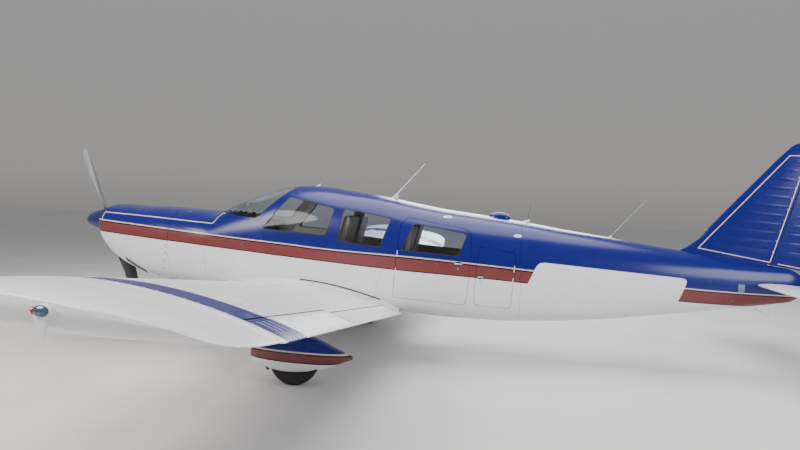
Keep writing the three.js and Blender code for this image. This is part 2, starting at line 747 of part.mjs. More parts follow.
const belowRudder = () => {
  const [[fromStation, fromZ], [toStation, toZ]] = rudderFoot;
  const footZ = (station) => fromZ + (toZ - fromZ) * (station - fromStation) / (toStation - fromStation);
  const ends = [280, 330].map((station) => [at(station), footZ(station)]);
  return across([...ends, [ends[1][0], 800], [ends[0][0], 800]], -100, 100);
};

const rudderSolid = () =>
  finBlade()
    .intersect(behindHinge())
    .add(hingePost(rod).intersect(box(at(280), at(330), -60, 60, 1000, 2388)))
    .subtract(belowRudder())
    .subtract(rudderRoom())
    .add(rudderPin(rod));

// Wheels
function lathe(profile, sides) {
  return toSolid(new THREE.LatheGeometry(profile.map(([r, y]) => new THREE.Vector2(r, y)), sides));
}

function tyreGeometry() {
  const { outer, half, beadRadius, beadHalf } = tyre;
  const profile = [
    [beadRadius, -beadHalf],
    [outer * 0.7, -half],
    [outer * 0.91, -half * 0.8],
    [outer, -half * 0.3],
    [outer, half * 0.3],
    [outer * 0.91, half * 0.8],
    [outer * 0.7, half],
    [beadRadius, beadHalf],
    [beadRadius, -beadHalf],
  ];
  return toGeometry(lathe(profile, wheelSides));
}

function hubGeometry() {
  const { rimRadius, half, boreRadius } = hub;
  const profile = [
    [boreRadius, -half + 8],
    [56, -half + 14],
    [rimRadius + 8, -half],
    [rimRadius, -beadLip],
    [rimRadius, beadLip],
    [rimRadius + 8, half],
    [56, half - 14],
    [boreRadius, half - 8],
    [boreRadius, -half + 8],
  ];
  return toGeometry(lathe(profile, wheelSides));
}
const beadLip = tyre.beadHalf + 4;

// A wheel fairing round a wheel whose middle is at (0, 0, axleZ)
function pantBody(ahead, behind, top, half, noseZ, tailZ) {
  const square = (value) => Math.sign(value) * Math.abs(value) ** pantSquareness;
  const rings = pantFullness.map(([part, size, above, below]) => {
    const x = -ahead + part * (ahead + behind);
    const middle = THREE.MathUtils.lerp(THREE.MathUtils.lerp(noseZ, tailZ, part), pantMiddleZ, size);
    const up = (top - pantMiddleZ) * above;
    const down = (pantMiddleZ - pant.bottom) * below;
    const ring = [];
    for (let j = 0; j < pantSides; j++) {
      const angle = (2 * Math.PI * j) / pantSides;
      const c = Math.cos(angle);
      const s = Math.sin(angle);
      ring.push(vec(x, half * size ** pantSquareness * square(c), middle + (s > 0 ? up : down) * square(s)));
    }
    return ring;
  });
  return loft(rings);
}

const wheelCavity = (radius, half) =>
  rod(vec(0, -half, axleZ), vec(0, half, axleZ), radius, radius, 24)
    .add(box(-radius, radius, -half, half, 20, axleZ));

// Undercarriage legs
const mainWheelY = track / 2;
const legY = mainWheelY - mainLeg.inset;

const wheelAxleReach = 66;

function legSocket(side, extra) {
  const foot = vec(at(mainStation), side * legY, mainLeg.top - 110);
  return rod(foot, vec(foot.x, foot.y, mainLeg.top), mainLeg.cylinderRadius + extra);
}

function mainLegSolid(side) {
  const { pistonRadius, cylinderRadius, foot, collar, top } = mainLeg;
  const x = at(mainStation);
  const y = side * legY;
  return rod(vec(x, y, foot), vec(x, y, collar + 20), pistonRadius)
    .add(rod(vec(x, y, collar), vec(x, y, top), cylinderRadius))
    .add(rod(vec(x, y, axleZ), vec(x, side * (mainWheelY + wheelAxleReach), axleZ), axleRadius));
}

const noseTop = vec(at(noseLeg.topStation), 0, noseLeg.topZ);
const noseAxle = vec(at(noseStation), 0, axleZ);
const steerLine = noseAxle.clone().sub(noseTop).normalize();
const onSteer = (z) => noseTop.clone().addScaledVector(steerLine, (z - noseTop.z) / steerLine.z);

function noseLegSolid() {
  const fairing = loft(
    noseLegFairing.map(([z, ahead, behind, half]) => {
      const middle = onSteer(z).x;
      const ring = [];
      for (let k = 0; k < pantSides; k++) {
        const angle = (2 * Math.PI * k) / pantSides;
        const c = Math.cos(angle);
        const narrowing = c > 0 ? 1 - 0.35 * c : 1;
        ring.push(vec(middle + (c < 0 ? ahead : behind) * c, half * Math.sin(angle) * narrowing, z));
      }
      return ring;
    }),
  );
  const cylinder = bore(
    onSteer(noseLeg.foot - 20),
    onSteer(960),
    noseLeg.pistonRadius + pinClearance,
    undefined,
    pinSides,
  );
  return fairing
    .add(rod(onSteer(noseLeg.foot), onSteer(990), noseLeg.tubeRadius + 6))
    .add(box(at(5), at(firewallStation) - seatGap, -40, 40, 972, 1012))
    .subtract(cylinder);
}

function noseForkSolid() {
  const crown = new THREE.BoxGeometry(...fork.crown);
  crown.rotateY(-Math.atan2(steerLine.x, -steerLine.z));
  crown.translate(...onSteer(fork.crownZ));
  const blade = (side) =>
    loft(
      forkBlade.map(([z, reach]) => {
        const x = onSteer(z).x;
        const y = side * fork.bladeY;
        const t = fork.bladeHalf;
        const corners = [[-reach, -t], [reach, -t], [reach, t], [-reach, t]];
        return corners.map(([dx, dy]) => vec(x + dx, y + dy, z));
      }),
    );
  return rod(onSteer(fork.crownZ), onSteer(940), noseLeg.pistonRadius, noseLeg.pistonRadius, pinSides)
    .add(toSolid(crown))
    .add(blade(-1))
    .add(blade(1))
    .add(rod(vec(noseAxle.x, -fork.axleHalf, axleZ), vec(noseAxle.x, fork.axleHalf, axleZ), axleRadius));
}

function nosePantSolid() {
  const { lengthAhead, lengthBehind, top, half: bodyHalf, noseZ, tailZ } = nosePant;
  const { radius, half: wellHalf, crownHalf, crownTop, legHole } = noseWell;
  const crownX = onSteer(490).x - noseAxle.x;
  const toWheel = vec(-noseAxle.x, 0, 0);
  return pantBody(lengthAhead, lengthBehind, top, bodyHalf, noseZ, tailZ)
    .subtract(wheelCavity(radius, wellHalf))
    .subtract(box(crownX - crownHalf, crownX + crownHalf, -wellHalf, wellHalf, 300, crownTop))
    .subtract(rod(onSteer(430).add(toWheel), onSteer(600).add(toWheel), legHole));
}

// Propeller
function bladeSolid(turn) {
  const outline = airfoil(1, 1, 0.25, 5);
  const rings = bladeSections.map(([radius, chord, thickness, pitch]) => {
    const angle = pitch * degree;
    return outline.map(([c, h]) => {
      const along = (c - 0.4) * chord;
      const up = h * thickness;
      const x = along * Math.sin(angle) - up * Math.cos(angle);
      return vec(x, -along * Math.cos(angle) - up * Math.sin(angle), radius);
    });
  });
  const turned = new THREE.Matrix4().makeRotationX(turn);
  const shift = new THREE.Matrix4().makeTranslation(at(propPlane), 0, propAxisZ);
  return loft(rings.map((ring) => ring.map((point) => point.applyMatrix4(turned).applyMatrix4(shift))));
}

const onShaft = (station) => vec(at(station), 0, propAxisZ);

const propellerSolid = () =>
  rod(onShaft(propPlane - 2.6), onShaft(propPlane + 1.7), hubRadius)
    .add(rod(onShaft(propPlane), onShaft(8.5), shaftRadius, shaftRadius, pinSides))
    .add(bladeSolid(bladeTilt))
    .add(bladeSolid(bladeTilt + Math.PI));

function spinnerSolid() {
  const length = (spinnerBase - spinnerTip) * inch;
  const steps = 6;
  const curve = (radius, reach, count) => {
    const points = [];
    for (let k = 0; k <= count; k++) {
      const angle = (Math.PI / 2) * (k / count);
      points.push([radius * Math.sin(angle) ** 0.92, reach * Math.cos(angle)]);
    }
    return points;
  };
  const outer = curve(spinnerRadius, length, steps);
  const inner = curve(spinnerRadius - spinnerWall, length - 12, steps).reverse();
  const shellSolid = lathe([...outer, [spinnerRadius - spinnerWall, 0.0], ...inner.slice(1)], 20);
  const [bore0, rim, low, high] = [hubRadius + 1.2, spinnerRadius - 2, 22, 32];
  const plate = lathe([[bore0, low], [rim, low], [rim, high], [bore0, high], [bore0, low]], 20);
  const geometry = toGeometry(shellSolid.add(plate));
  geometry.rotateZ(Math.PI / 2);
  geometry.translate(at(spinnerBase), 0, propAxisZ);
  const slots = [bladeTilt, bladeTilt + Math.PI].map((turn) => {
    const slot = new THREE.BoxGeometry(112, 122, 160);
    slot.translate(-(spinnerBase - propPlane) * inch, 0, spinnerRadius - 20);
    slot.rotateX(turn);
    slot.translate(at(spinnerBase), 0, propAxisZ);
    return toSolid(slot);
  });
  return toSolid(geometry).subtract(slots[0]).subtract(slots[1]);
}

// Engine block with its mounting feet and the bearing that holds the propeller's shaft
function engineSolid() {
  const { halfWidth: w, bottom, top, chamfer: c } = engine;
  const outline = [
    [-w, bottom + c], [-w + c, bottom], [w - c, bottom], [w, bottom + c],
    [w, top - c], [w - c, top], [-w + c, top], [-w, top - c],
  ];
  const block = loft([at(engine.from), at(engine.to)].map((x) => outline.map(([y, z]) => vec(x, y, z))));
  const feet = engineFeet.map(([y, z]) =>
    rod(vec(at(engine.to) - 5, y, z), vec(at(firewallStation) - seatGap, y, z), engine.footRadius));
  return feet
    .reduce((sum, foot) => sum.add(foot), block)
    .add(rod(onShaft(3.2), onShaft(9), engine.noseRadius))
    .subtract(bore(onShaft(0), onShaft(8.8), shaftRadius + pinClearance, undefined, pinSides));
}

// Cowling halves
function cowlSolid() {
  const inside = hull(at(cowlFront) + 26, at(firewallStation) + 40, cowlWall);
  const shaftHole = rod(onShaft(-1), onShaft(6), shaftHoleRadius);
  const mouths = [-1, 1].map((side) => {
    const ringAt = (x) => {
      const ring = [];
      for (let k = 0; k < 20; k++) {
        const angle = (2 * Math.PI * k) / 20;
        const y = side * inlet.y + inlet.halfWidth * Math.cos(angle);
        ring.push(vec(x, y, inlet.z + inlet.halfHeight * Math.sin(angle)));
      }
      return ring;
    };
    return loft([ringAt(at(-2)), ringAt(at(6))]);
  });
  const slot = box(at(legSlot.from), at(legSlot.to), -legSlot.halfWidth, legSlot.halfWidth, 700, 1090);
  const { from, to, halfWidth } = cowlOutlet;
  const outlet = box(at(from), at(to), -halfWidth, halfWidth, 600, 900);
  return hull(at(cowlFront), at(firewallStation) - seatGap, 0)
    .subtract(inside)
    .subtract(shaftHole)
    .subtract(mouths[0])
    .subtract(mouths[1])
    .subtract(slot)
    .subtract(outlet);
}

const cowlHalf = (up) => {
  const edge = up ? seatGap / 2 : -seatGap / 2;
  const limit = up ? 1700 : 600;
  const outline = [
    [at(-3), cowlSplitFront + edge],
    [at(42), cowlSplitRear + edge],
    [at(42), limit],
    [at(-3), limit],
  ];
  return cowlSolid().intersect(across(outline, -700, 700));
};

// Openings and panes
const pierce = (outline, side, extra, radius = windowRadius) =>
  across(rounded(grow(sideView(outline), extra), radius), side * 180, side * 800);

const pane = (outline, side) =>
  hull(at(60), at(186), paneDepth)
    .subtract(hull(at(60) - 5, at(186) + 5, paneDepth + paneThickness))
    .intersect(pierce(outline, side, -seatGap));

const windshieldPrism = (extra) => across(grow(sideView(windshieldOutline), extra), -760, 760);

const windshieldSolid = () =>
  hull(at(50), at(100), paneDepth)
    .subtract(hull(at(50) - 5, at(100) + 5, paneDepth + paneThickness))
    .intersect(windshieldPrism(-seatGap));

// The two ends of a door's hinge line
const hingeEnds = ({ outline, corners, hingeY }) =>
  corners.map((corner, k) => vec(at(outline[corner][0]), hingeY[k], outline[corner][1] * 1000));

// A hinged panel of the side wall; its free edge leans so that it swings clear of the jamb
function doorPrism(door, extra, side = door.outline) {
  const [low, high] = hingeEnds(door);
  const hingeLine = (z) => low.x + ((high.x - low.x) * (z - low.z)) / (high.z - low.z);
  const lean = (x, y, z) => {
    const fromHinge = x - hingeLine(z);
    if (Math.abs(fromHinge) < 2 * movingGap) return x;
    return hingeLine(z) + fromHinge * (1 - (freeEdgeBevel * (door.plane - y)) / door.width);
  };
  const outline = rounded(grow(sideView(side), extra), doorRadius);
  return across(outline, door.side * 180, door.side * 800, lean);
}

const cabinWallSolid = (fromStation, toStation) => shell(at(fromStation), at(toStation), cabinWall, -5, 5);

// Adds a door's two hinge knuckles, which end just short of the jamb
function withKnuckles(solid, door) {
  const [start, end] = hingeEnds(door);
  const reach = end.clone().sub(start).setLength(knuckleLength / 2);
  return door.knuckles.reduce((sum, part) => {
    const middle = start.clone().lerp(end, part);
    const ends = [middle.clone().sub(reach), middle.clone().add(reach)];
    return sum.add(rod(...ends, knuckleRadius, knuckleRadius, 12));
  }, solid);
}

const doorSolid = (door) =>
  withKnuckles(cabinWallSolid(60, 188).intersect(doorPrism(door, 0, door.leaf ?? door.outline)), door);

function cabinSolid() {
  return [
    windshieldPrism(0),
    pierce(cockpitWindow, -1, 0),
    pierce(middleWindow, -1, 0),
    pierce(middleWindow, 1, 0),
    pierce(rearWindow, 1, 0),
    doorPrism(doors.front, movingGap),
    doorPrism(doors.rear, movingGap),
    doorPrism(doors.utility, movingGap),
  ].reduce((sum, cut) => sum.subtract(cut), cabinWallSolid(noseRear, cabinRear));
}

const baggagePrism = (extra) => pierce(baggageDoorOutline, 1, extra, doorRadius);

const noseSolid = () =>
  hull(at(firewallStation), at(noseRear) - seatGap, 0)
    .subtract(hull(at(firewallStation) + 18, at(noseRear) - 22, noseWall))
    .subtract(baggagePrism(movingGap));

const baggageDoorSolid = () =>
  withKnuckles(
    hull(at(firewallStation), at(noseRear), 0)
      .subtract(hull(at(firewallStation) - 5, at(noseRear) + 5, noseWall))
      .intersect(baggagePrism(0)),
    doors.baggage,
  );

function tailSolid() {
  const cavity = hull(at(cabinRear) + tailBulkhead, at(coneHollowEnd), tailWall);
  const hatch = rod(vec(at(cabinRear) - 10, 0, 980), vec(at(cabinRear) + 40, 0, 980), 150);
  const bearing = bore(
    stabPoint(stabilator.hinge, -200, 0),
    stabPoint(stabilator.hinge, 200, 0),
    stabilator.tubeRadius + pinClearance,
    undefined,
    pinSides,
  );
  return hull(at(cabinRear) + seatGap, at(coneEnd), 0)
    .subtract(cavity)
    .subtract(hatch)
    .subtract(bearing)
    .subtract(rudderPin(bore, pinClearance));
}

// Cabin furniture
const floorSlope = (floor.rearZ - floor.frontZ) / (at(floor.rearStation) - at(floor.frontStation));
const floorZ = (x) => floor.frontZ + floorSlope * (x - at(floor.frontStation));

function floorSolid() {
  const x0 = at(floor.frontStation);
  const x1 = at(floor.rearStation);
  const below = (x) => floorZ(x) - floor.thickness;
  const outline = [[x0, floorZ(x0)], [x1, floorZ(x1)], [x1, below(x1)], [x0, below(x0)]];
  return hull(at(59), at(188), cabinWall + seatGap).intersect(across(outline, -700, 700));
}

function panelSolid() {
  const front = at(panel.station);
  const wide = panel.halfWidth;
  const face = box(front, front + panel.thickness, -wide, wide, panel.bottom, panel.top);
  const shelf = box(at(panel.shelfFront), front + panel.hood, -wide, wide, panel.top - 2, panel.top + 12);
  const room = hull(at(panel.shelfFront), at(80), cabinWall + panelGap);
  const yokes = [-yoke.y, yoke.y].map((y) => {
    const { z, half, span } = yoke;
    const hubX = front + yoke.reach;
    const horn = (middle) =>
      box(hubX - half, hubX + half, middle - half, middle + half, z - 20, z + yoke.hornTop);
    return rod(vec(front, y, z), vec(hubX, y, z), yoke.tubeRadius)
      .add(box(hubX - half, hubX + half, y - span, y + span, z - 16, z + 16))
      .add(horn(y - span - 2))
      .add(horn(y + span + 2));
  });
  return face.add(shelf).intersect(room).add(yokes[0]).add(yokes[1]);
}

// A seat or bench on four legs, or two seats on one box that goes right across
function seatSolid(frontStation, places, width, backHeight) {
  const front = at(frontStation);
  const rear = front + seat.cushionLength;
  const top = floorZ(front + seat.cushionLength / 2) + seat.cushionHeight;
  const under = top - seat.thickness;
  const lean = backHeight * seat.recline;
  const profile = [
    [front, under],
    [rear, under - seat.dip],
    [rear + seat.thickness + seat.dip, top],
    [rear + seat.thickness + lean, top + backHeight],
    [rear + lean + seat.backTop, top + backHeight],
    [rear - seat.dip, top - seat.dip / 2],
    [front, top],
  ];
  const cushions = places.map((y) => across(rounded(profile, seat.cornerRadius), y - width / 2, y + width / 2));
  const standAt = (x0, x1, y0, y1) => {
    const foot = (x) => floorZ(x) + 1.3 * seatGap;
    return across([[x0, foot(x0)], [x1, foot(x1)], [x1, under + 2], [x0, under + 2]], y0, y1);
  };
  const x0 = front + seat.standFront;
  const x1 = rear - seat.standRear;
  const reach = width / 2 - seat.legInset;
  const stands = [];
  if (places.length > 1) {
    stands.push(standAt(x0, x1, places[0] - reach, places[1] + reach));
  } else {
    for (const x of [x0, x1 - seat.legDepth]) {
      for (const y of [places[0] - reach, places[0] + reach]) {
        stands.push(standAt(x, x + seat.legDepth, y - seat.legHalf, y + seat.legHalf));
      }
    }
  }
  return [...cushions, ...stands].reduce((sum, piece) => sum.add(piece));
}

// Exhaust stacks under the cowling, on one cross tube
function exhaustSolid() {
  const { station, z, pipeY, radius, wall } = exhaust;
  const cross = rod(vec(at(station), -pipeY, z), vec(at(station), pipeY, z), radius, radius, 10);
  const stacks = [-pipeY, pipeY].map((y) => {
    const bend = vec(at(station), y, z);
    const mouth = vec(at(exhaust.mouthStation), y, exhaust.mouthZ);
    const holeEnds = [bend.clone().lerp(mouth, 0.85), bend.clone().lerp(mouth, 1.1)];
    const mouthHole = rod(...holeEnds, radius - wall, radius - wall, 10);
    const riser = rod(bend, vec(bend.x, y, engine.bottom - seatGap), radius, radius, 10);
    return rod(bend, mouth, radius, radius, 10).subtract(mouthHole).add(riser);
  });
  return cross.add(stacks[0]).add(stacks[1]);
}

// Roof antenna, a blade with a raked whip
function antennaSolid() {
  const { station, roof, tipStation, tipZ, footRadius, whipRadius, tipRadius } = antenna;
  const x = at(station);
  const whip = rod(vec(x, 0, roof + 4), vec(at(tipStation), 0, tipZ), whipRadius, tipRadius, 10);
  const foot = rod(vec(x - 6, 0, roof - 10), vec(x + 14, 0, roof + 55), footRadius, whipRadius + 1, 12);
  return whip.add(foot).subtract(hull(at(120), at(150), -seatGap));
}

// Blue air scoop on the cabin roof
function scoopSolid() {
  const rings = scoopSections.map(([station, size]) => {
    const ring = [];
    for (let k = 0; k < 16; k++) {
      const angle = (2 * Math.PI * k) / 16;
      const y = scoop.half * size ** 0.6 * Math.cos(angle);
      ring.push(vec(at(station), y, scoop.z + scoop.half * size * Math.sin(angle)));
    }
    return ring;
  });
  return loft(rings).subtract(hull(at(165), at(188), -seatGap));
}

// Beacon on the fin's top
function beaconSolid() {
  const geometry = toGeometry(lathe(beacon.profile, 12));
  geometry.rotateX(Math.PI / 2);
  geometry.translate(at(beacon.station), 0, finSections.at(-1)[0] + seatGap);
  return toSolid(geometry);
}

// The aeroplane
const aircraft = new THREE.Group();
aircraft.name = 'light_aircraft';

function material(colour) {
  const [color, roughness, metalness] = colours[colour];
  return new THREE.MeshStandardMaterial({ color, roughness, metalness });
}

function add(name, colour, shape, parent = aircraft) {
  const geometry = shape.isBufferGeometry ? shape : toGeometry(shape);
  const mesh = new THREE.Mesh(geometry, material(colour));
  mesh.name = name;
  parent.add(mesh);
  return mesh;
}

const sides = [['left', -1], ['right', 1]];

add('cowl_upper', 'blue', cowlHalf(true));
add('cowl_lower', 'white', cowlHalf(false));
add('engine_block', 'iron', engineSolid());
add('exhaust', 'steel', exhaustSolid());
add('nose_section', 'white', noseSolid());
add('nose_baggage_door', 'white', baggageDoorSolid());
add('cabin_shell', 'white', cabinSolid());
add('cabin_floor', 'carpet', floorSolid());
add('instrument_panel', 'dark', panelSolid());
for (const [name, ...row] of seatRows) add(name, 'cloth', seatSolid(...row));
add('windshield', 'glass', windshieldSolid());
add('left_cockpit_window', 'glass', pane(cockpitWindow, -1));
for (const [word, side] of sides) add(`${word}_middle_window`, 'glass', pane(middleWindow, side));
add('right_rear_window', 'glass', pane(rearWindow, 1));
add('front_door', 'white', doorSolid(doors.front).subtract(pierce(frontDoorWindow, 1, 0)));
add('front_door_window', 'glass', pane(frontDoorWindow, 1));
add('rear_door', 'white', doorSolid(doors.rear).subtract(pierce(rearWindow, -1, 0)));
add('rear_door_window', 'glass', pane(rearWindow, -1));
add('utility_door', 'white', doorSolid(doors.utility));
add('tailcone', 'white', tailSolid());
add('fin', 'blue', finSolid());
add('rudder', 'blue', rudderSolid());
add('beacon', 'red', beaconSolid());
add('stabilator', 'white', stabilatorSolid());
add('stabilator_tab', 'white', tabSolid());
add('roof_antenna', 'white', antennaSolid());
add('roof_scoop', 'blue', scoopSolid());

for (const [word, side] of sides) {
  add(`${word}_wing`, 'white', mainWing(side));
  add(`${word}_wing_tip`, 'white', wingTip(side));
  add(`${word}_flap`, 'white', controlSurface(side, flap));
  add(`${word}_aileron`, 'white', controlSurface(side, aileron));
  add(`${word}_main_leg`, 'steel', mainLegSolid(side));
}

// Wheels and fairings hang in groups at their own wheel's middle
const tyreShape = tyreGeometry();
const hubShape = hubGeometry();
const half = pant.half;
const pantShape = pantBody(at(mainStation) - at(pant.front), at(pant.rear) - at(mainStation), pant.top, half,
  pant.noseZ, pant.tailZ);
const wheels = [
  ['left', vec(at(mainStation), -mainWheelY, 0), -1],
  ['right', vec(at(mainStation), mainWheelY, 0), 1],
  ['nose', vec(at(noseStation), 0, 0), 0],
];
for (const [word, place, side] of wheels) {
  const station = new THREE.Group();
  station.position.copy(place);
  aircraft.add(station);
  add(`${word}_tyre`, 'rubber', tyreShape, station).position.z = axleZ;
  add(`${word}_hub`, 'steel', hubShape, station).position.z = axleZ;
  if (side !== 0) {
    const legPlace = -side * mainLeg.inset;
    const axleHole = rod(vec(0, -side * 200, axleZ), vec(0, 0, axleZ), axleRadius + seatGap);
    const strutHole = rod(vec(0, legPlace, 100), vec(0, legPlace, 520), mainLeg.cylinderRadius + seatGap);
    const shape = pantShape
      .subtract(wheelCavity(wheelWell.radius, wheelWell.half))
      .subtract(axleHole)
      .subtract(strutHole);
    add(`${word}_wheel_pant`, 'blue', shape, station);
  } else {
    add('nose_wheel_pant', 'blue', nosePantSolid(), station);
  }
}
add('nose_leg', 'dark', noseLegSolid());
add('nose_fork', 'steel', noseForkSolid());
add('propeller', 'grey', propellerSolid());
add('spinner', 'blue', spinnerSolid());

export default aircraft;
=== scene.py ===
import math
import bmesh
import bpy
from mathutils import Matrix, Vector
from mathutils.bvhtree import BVHTree
from mathutils.interpolate import poly_3d_calc


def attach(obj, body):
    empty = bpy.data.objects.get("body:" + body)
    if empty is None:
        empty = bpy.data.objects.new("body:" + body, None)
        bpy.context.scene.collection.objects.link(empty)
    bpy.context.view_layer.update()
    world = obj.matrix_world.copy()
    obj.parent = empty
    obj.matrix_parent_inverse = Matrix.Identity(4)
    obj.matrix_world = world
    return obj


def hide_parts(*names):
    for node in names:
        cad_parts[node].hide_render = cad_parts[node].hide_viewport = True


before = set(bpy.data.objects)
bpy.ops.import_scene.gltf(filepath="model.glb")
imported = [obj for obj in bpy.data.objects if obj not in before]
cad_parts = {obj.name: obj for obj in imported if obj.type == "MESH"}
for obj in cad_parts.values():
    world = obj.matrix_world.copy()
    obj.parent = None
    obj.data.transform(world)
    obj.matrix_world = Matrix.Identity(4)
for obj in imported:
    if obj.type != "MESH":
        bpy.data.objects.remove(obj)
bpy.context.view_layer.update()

# A six-seat low-wing aeroplane. Metres throughout: +X aft, +Y to the right-hand wing, +Z up.
inch = 0.0254
datum = 3.876
attitude = math.radians(4.4)
bothSides = ((-1, "left"), (1, "right"))


def at(station):  # stations are inches aft of the datum
    return station * inch - datum


def turn(count, k):
    return 2 * math.pi * k / count


def circle(count):  # cosines and sines at even steps round a full turn
    return [(math.cos(turn(count, k)), math.sin(turn(count, k))) for k in range(count)]


# Camera, floor and light
camera = {"focal": 29.69, "yaw": 0.15327, "pitch": 0.03041, "roll": 0.03032, "place": (0.705, -7.2802, 1.638)}
studio = {"floorSize": 120.0, "floor": (0.62, 0.61, 0.60), "world": 0.42}
lamps = [  # name, place, aim, size, power, colour
    ("keyLight", (-5.5, -7.5, 6.5), (0, 0, 0.8), 4.5, 880, (1.0, 0.95, 0.88)),
    ("topLight", (0.5, 0.5, 7.5), (0, 0, 0.8), 8.0, 780, (1.0, 0.98, 0.96)),
    ("fillLight", (7.5, -5.0, 3.5), (0.5, 0, 1.0), 4.0, 360, (0.88, 0.92, 1.0)),
    ("backLight", (1.0, 9.0, 4.5), (0, 0, 1.0), 6.0, 580, (0.95, 0.96, 1.0)),
]


def makeCamera():
    yaw, pitch, roll = camera["yaw"], camera["pitch"], camera["roll"]
    ahead = Vector((-math.sin(yaw) * math.cos(pitch), math.cos(yaw) * math.cos(pitch), -math.sin(pitch)))
    level = Vector((math.cos(yaw), math.sin(yaw), 0))
    up = level.cross(ahead)
    right = level * math.cos(roll) + up * math.sin(roll)
    up = up * math.cos(roll) - level * math.sin(roll)
    data = bpy.data.cameras.new("camera")
    data.sensor_width = 36
    data.lens = camera["focal"]
    data.clip_end = 200
    obj = bpy.data.objects.new("camera", data)
    obj.matrix_world = Matrix.Translation(camera["place"]) @ Matrix((right, up, -ahead)).transposed().to_4x4()
    bpy.context.scene.collection.objects.link(obj)
    bpy.context.scene.camera = obj


def makeStudio():
    half = studio["floorSize"] / 2
    floor = meshObject("floor", [(-half, -half, 0), (half, -half, 0), (half, half, 0), (-half, half, 0)],
                       [(0, 1, 2, 3)], surface("floorFinish", studio["floor"], 0.75, mottle=0.04,
                                               mottleScale=1.5))
    for name, place, aim, size, power, colour in lamps:
        data = bpy.data.lights.new(name, "AREA")
        data.shape = "DISK"
        data.size = size
        data.energy = power
        data.color = colour
        obj = bpy.data.objects.new(name, data)
        obj.location = place
        obj.rotation_mode = "QUATERNION"
        obj.rotation_quaternion = (Vector(aim) - Vector(place)).to_track_quat("-Z", "Y")
        bpy.context.scene.collection.objects.link(obj)
    world = bpy.data.worlds.new("studio")
    world.use_nodes = True
    bpy.context.scene.world = world
    tree = world.node_tree
    put = Nodes(tree)
    place = put.add("ShaderNodeTexCoord").outputs["Generated"]
    height = put.add("ShaderNodeSeparateXYZ", place).outputs[2]
    ramp = put.add("ShaderNodeValToRGB", put.math("MULTIPLY_ADD", height, 0.5, 0.5))
    stops = [(0.0, (0.55, 0.54, 0.53)), (0.49, (0.62, 0.61, 0.60)), (0.52, (0.80, 0.78, 0.76)),
             (1.0, (0.92, 0.94, 1.0))]
    fillRamp(ramp, stops)
    background = tree.nodes["Background"]
    tree.links.new(ramp.outputs[0], background.inputs[0])
    background.inputs[1].default_value = studio["world"]


# Small tools for nodes
class Nodes:
    def __init__(self, tree):
        self.tree = tree

    def link(self, value, socket):
        if isinstance(value, bpy.types.Node):
            value = value.outputs[0]
        if isinstance(value, bpy.types.NodeSocket):
            self.tree.links.new(value, socket)
        elif value is not None:
            socket.default_value = value

    def add(self, kind, *values, **settings):
        node = self.tree.nodes.new(kind)
        named = {key: value for key, value in settings.items() if not hasattr(node, key)}
        for key, value in settings.items():
            if key not in named:
                setattr(node, key, value)
        for socket, value in zip(node.inputs, values):
            self.link(value, socket)
        for key, value in named.items():
            self.link(value, node.inputs[key.replace("_", " ")])
        return node

    def math(self, operation, *values):
        return self.add("ShaderNodeMath", *values, operation=operation).outputs[0]

    def vector(self, operation, *values):
        return self.add("ShaderNodeVectorMath", *values, operation=operation)

    def mix(self, factor, first, second):
        node = self.tree.nodes.new("ShaderNodeMix")
        node.data_type = "RGBA"
        for value, socket in zip((factor, first, second), (node.inputs[0], node.inputs[6], node.inputs[7])):
            self.link(value, socket)
        return node.outputs[2]

    def least(self, values):
        result = values[0]
        for value in values[1:]:
            result = self.math("MINIMUM", result, value)
        return result


def fillRamp(node, stops):
    ramp = node.color_ramp
    while len(ramp.elements) < len(stops):
        ramp.elements.new(0.5)
    for element, (place, colour) in zip(ramp.elements, stops):
        element.position = place
        element.color = (*colour, 1)


def rgb(red, green, blue):  # 0..255 screen values
    return tuple(((v / 255 + 0.055) / 1.055) ** 2.4 if v > 10 else v / 3295 for v in (red, green, blue))


colours = {
    "white": rgb(226, 226, 230),
    "blue": rgb(11, 20, 104),
    "dark": rgb(12, 12, 34),
    "cream": rgb(214, 190, 176),
    "copper": rgb(114, 56, 56),
}


# One finish: a colour that varies a little, a roughness that varies a little and a fine bump
def surface(name, colour, roughness, metallic=0.0, coat=0.0, mottle=0.06, mottleScale=9.0, grain=0.0,
            grainScale=400.0, paint=None, **extra):
    material = bpy.data.materials.new(name)
    material.use_nodes = True
    put = Nodes(material.node_tree)
    shader = material.node_tree.nodes["Principled BSDF"]
    place = put.add("ShaderNodeTexCoord").outputs["Object"]
    cloud = put.add("ShaderNodeTexNoise", place, Scale=mottleScale, Detail=4.0).outputs[0]
    base = paint(put, place) if paint else (*colour, 1)
    shade = put.add("ShaderNodeMapRange", cloud, 0.35, 0.65, 1 - mottle, 1 + mottle * 0.5).outputs[0]
    tinted = put.add("ShaderNodeVectorMath", operation="SCALE", Scale=shade)
    put.link(base if paint else colour, tinted.inputs[0])
    put.link(tinted.outputs[0], shader.inputs["Base Color"])
    spread = put.add("ShaderNodeMapRange", cloud, 0.3, 0.7, roughness * 0.88,
                     min(1.0, roughness * 1.15)).outputs[0]
    put.link(spread, shader.inputs["Roughness"])
    shader.inputs["Metallic"].default_value = metallic
    shader.inputs["Coat Weight"].default_value = coat
    shader.inputs["Coat Roughness"].default_value = 0.04
    for key, value in extra.items():
        shader.inputs[key.replace("_", " ")].default_value = value
    if grain:
        fine = put.add("ShaderNodeTexNoise", place, Scale=grainScale, Detail=2.0).outputs[0]
        bump = put.add("ShaderNodeBump", Strength=grain, Distance=0.001)
        put.link(fine, bump.inputs["Height"])
        put.link(bump.outputs[0], shader.inputs["Normal"])
    return material


# Small tools for meshes
def meshObject(name, points, faces, *materials):
    mesh = bpy.data.meshes.new(name)
    mesh.from_pydata([tuple(p) for p in points], [], faces)
    for material in materials:
        mesh.materials.append(material)
    obj = bpy.data.objects.new(name, mesh)
    bpy.context.scene.collection.objects.link(obj)
    return obj


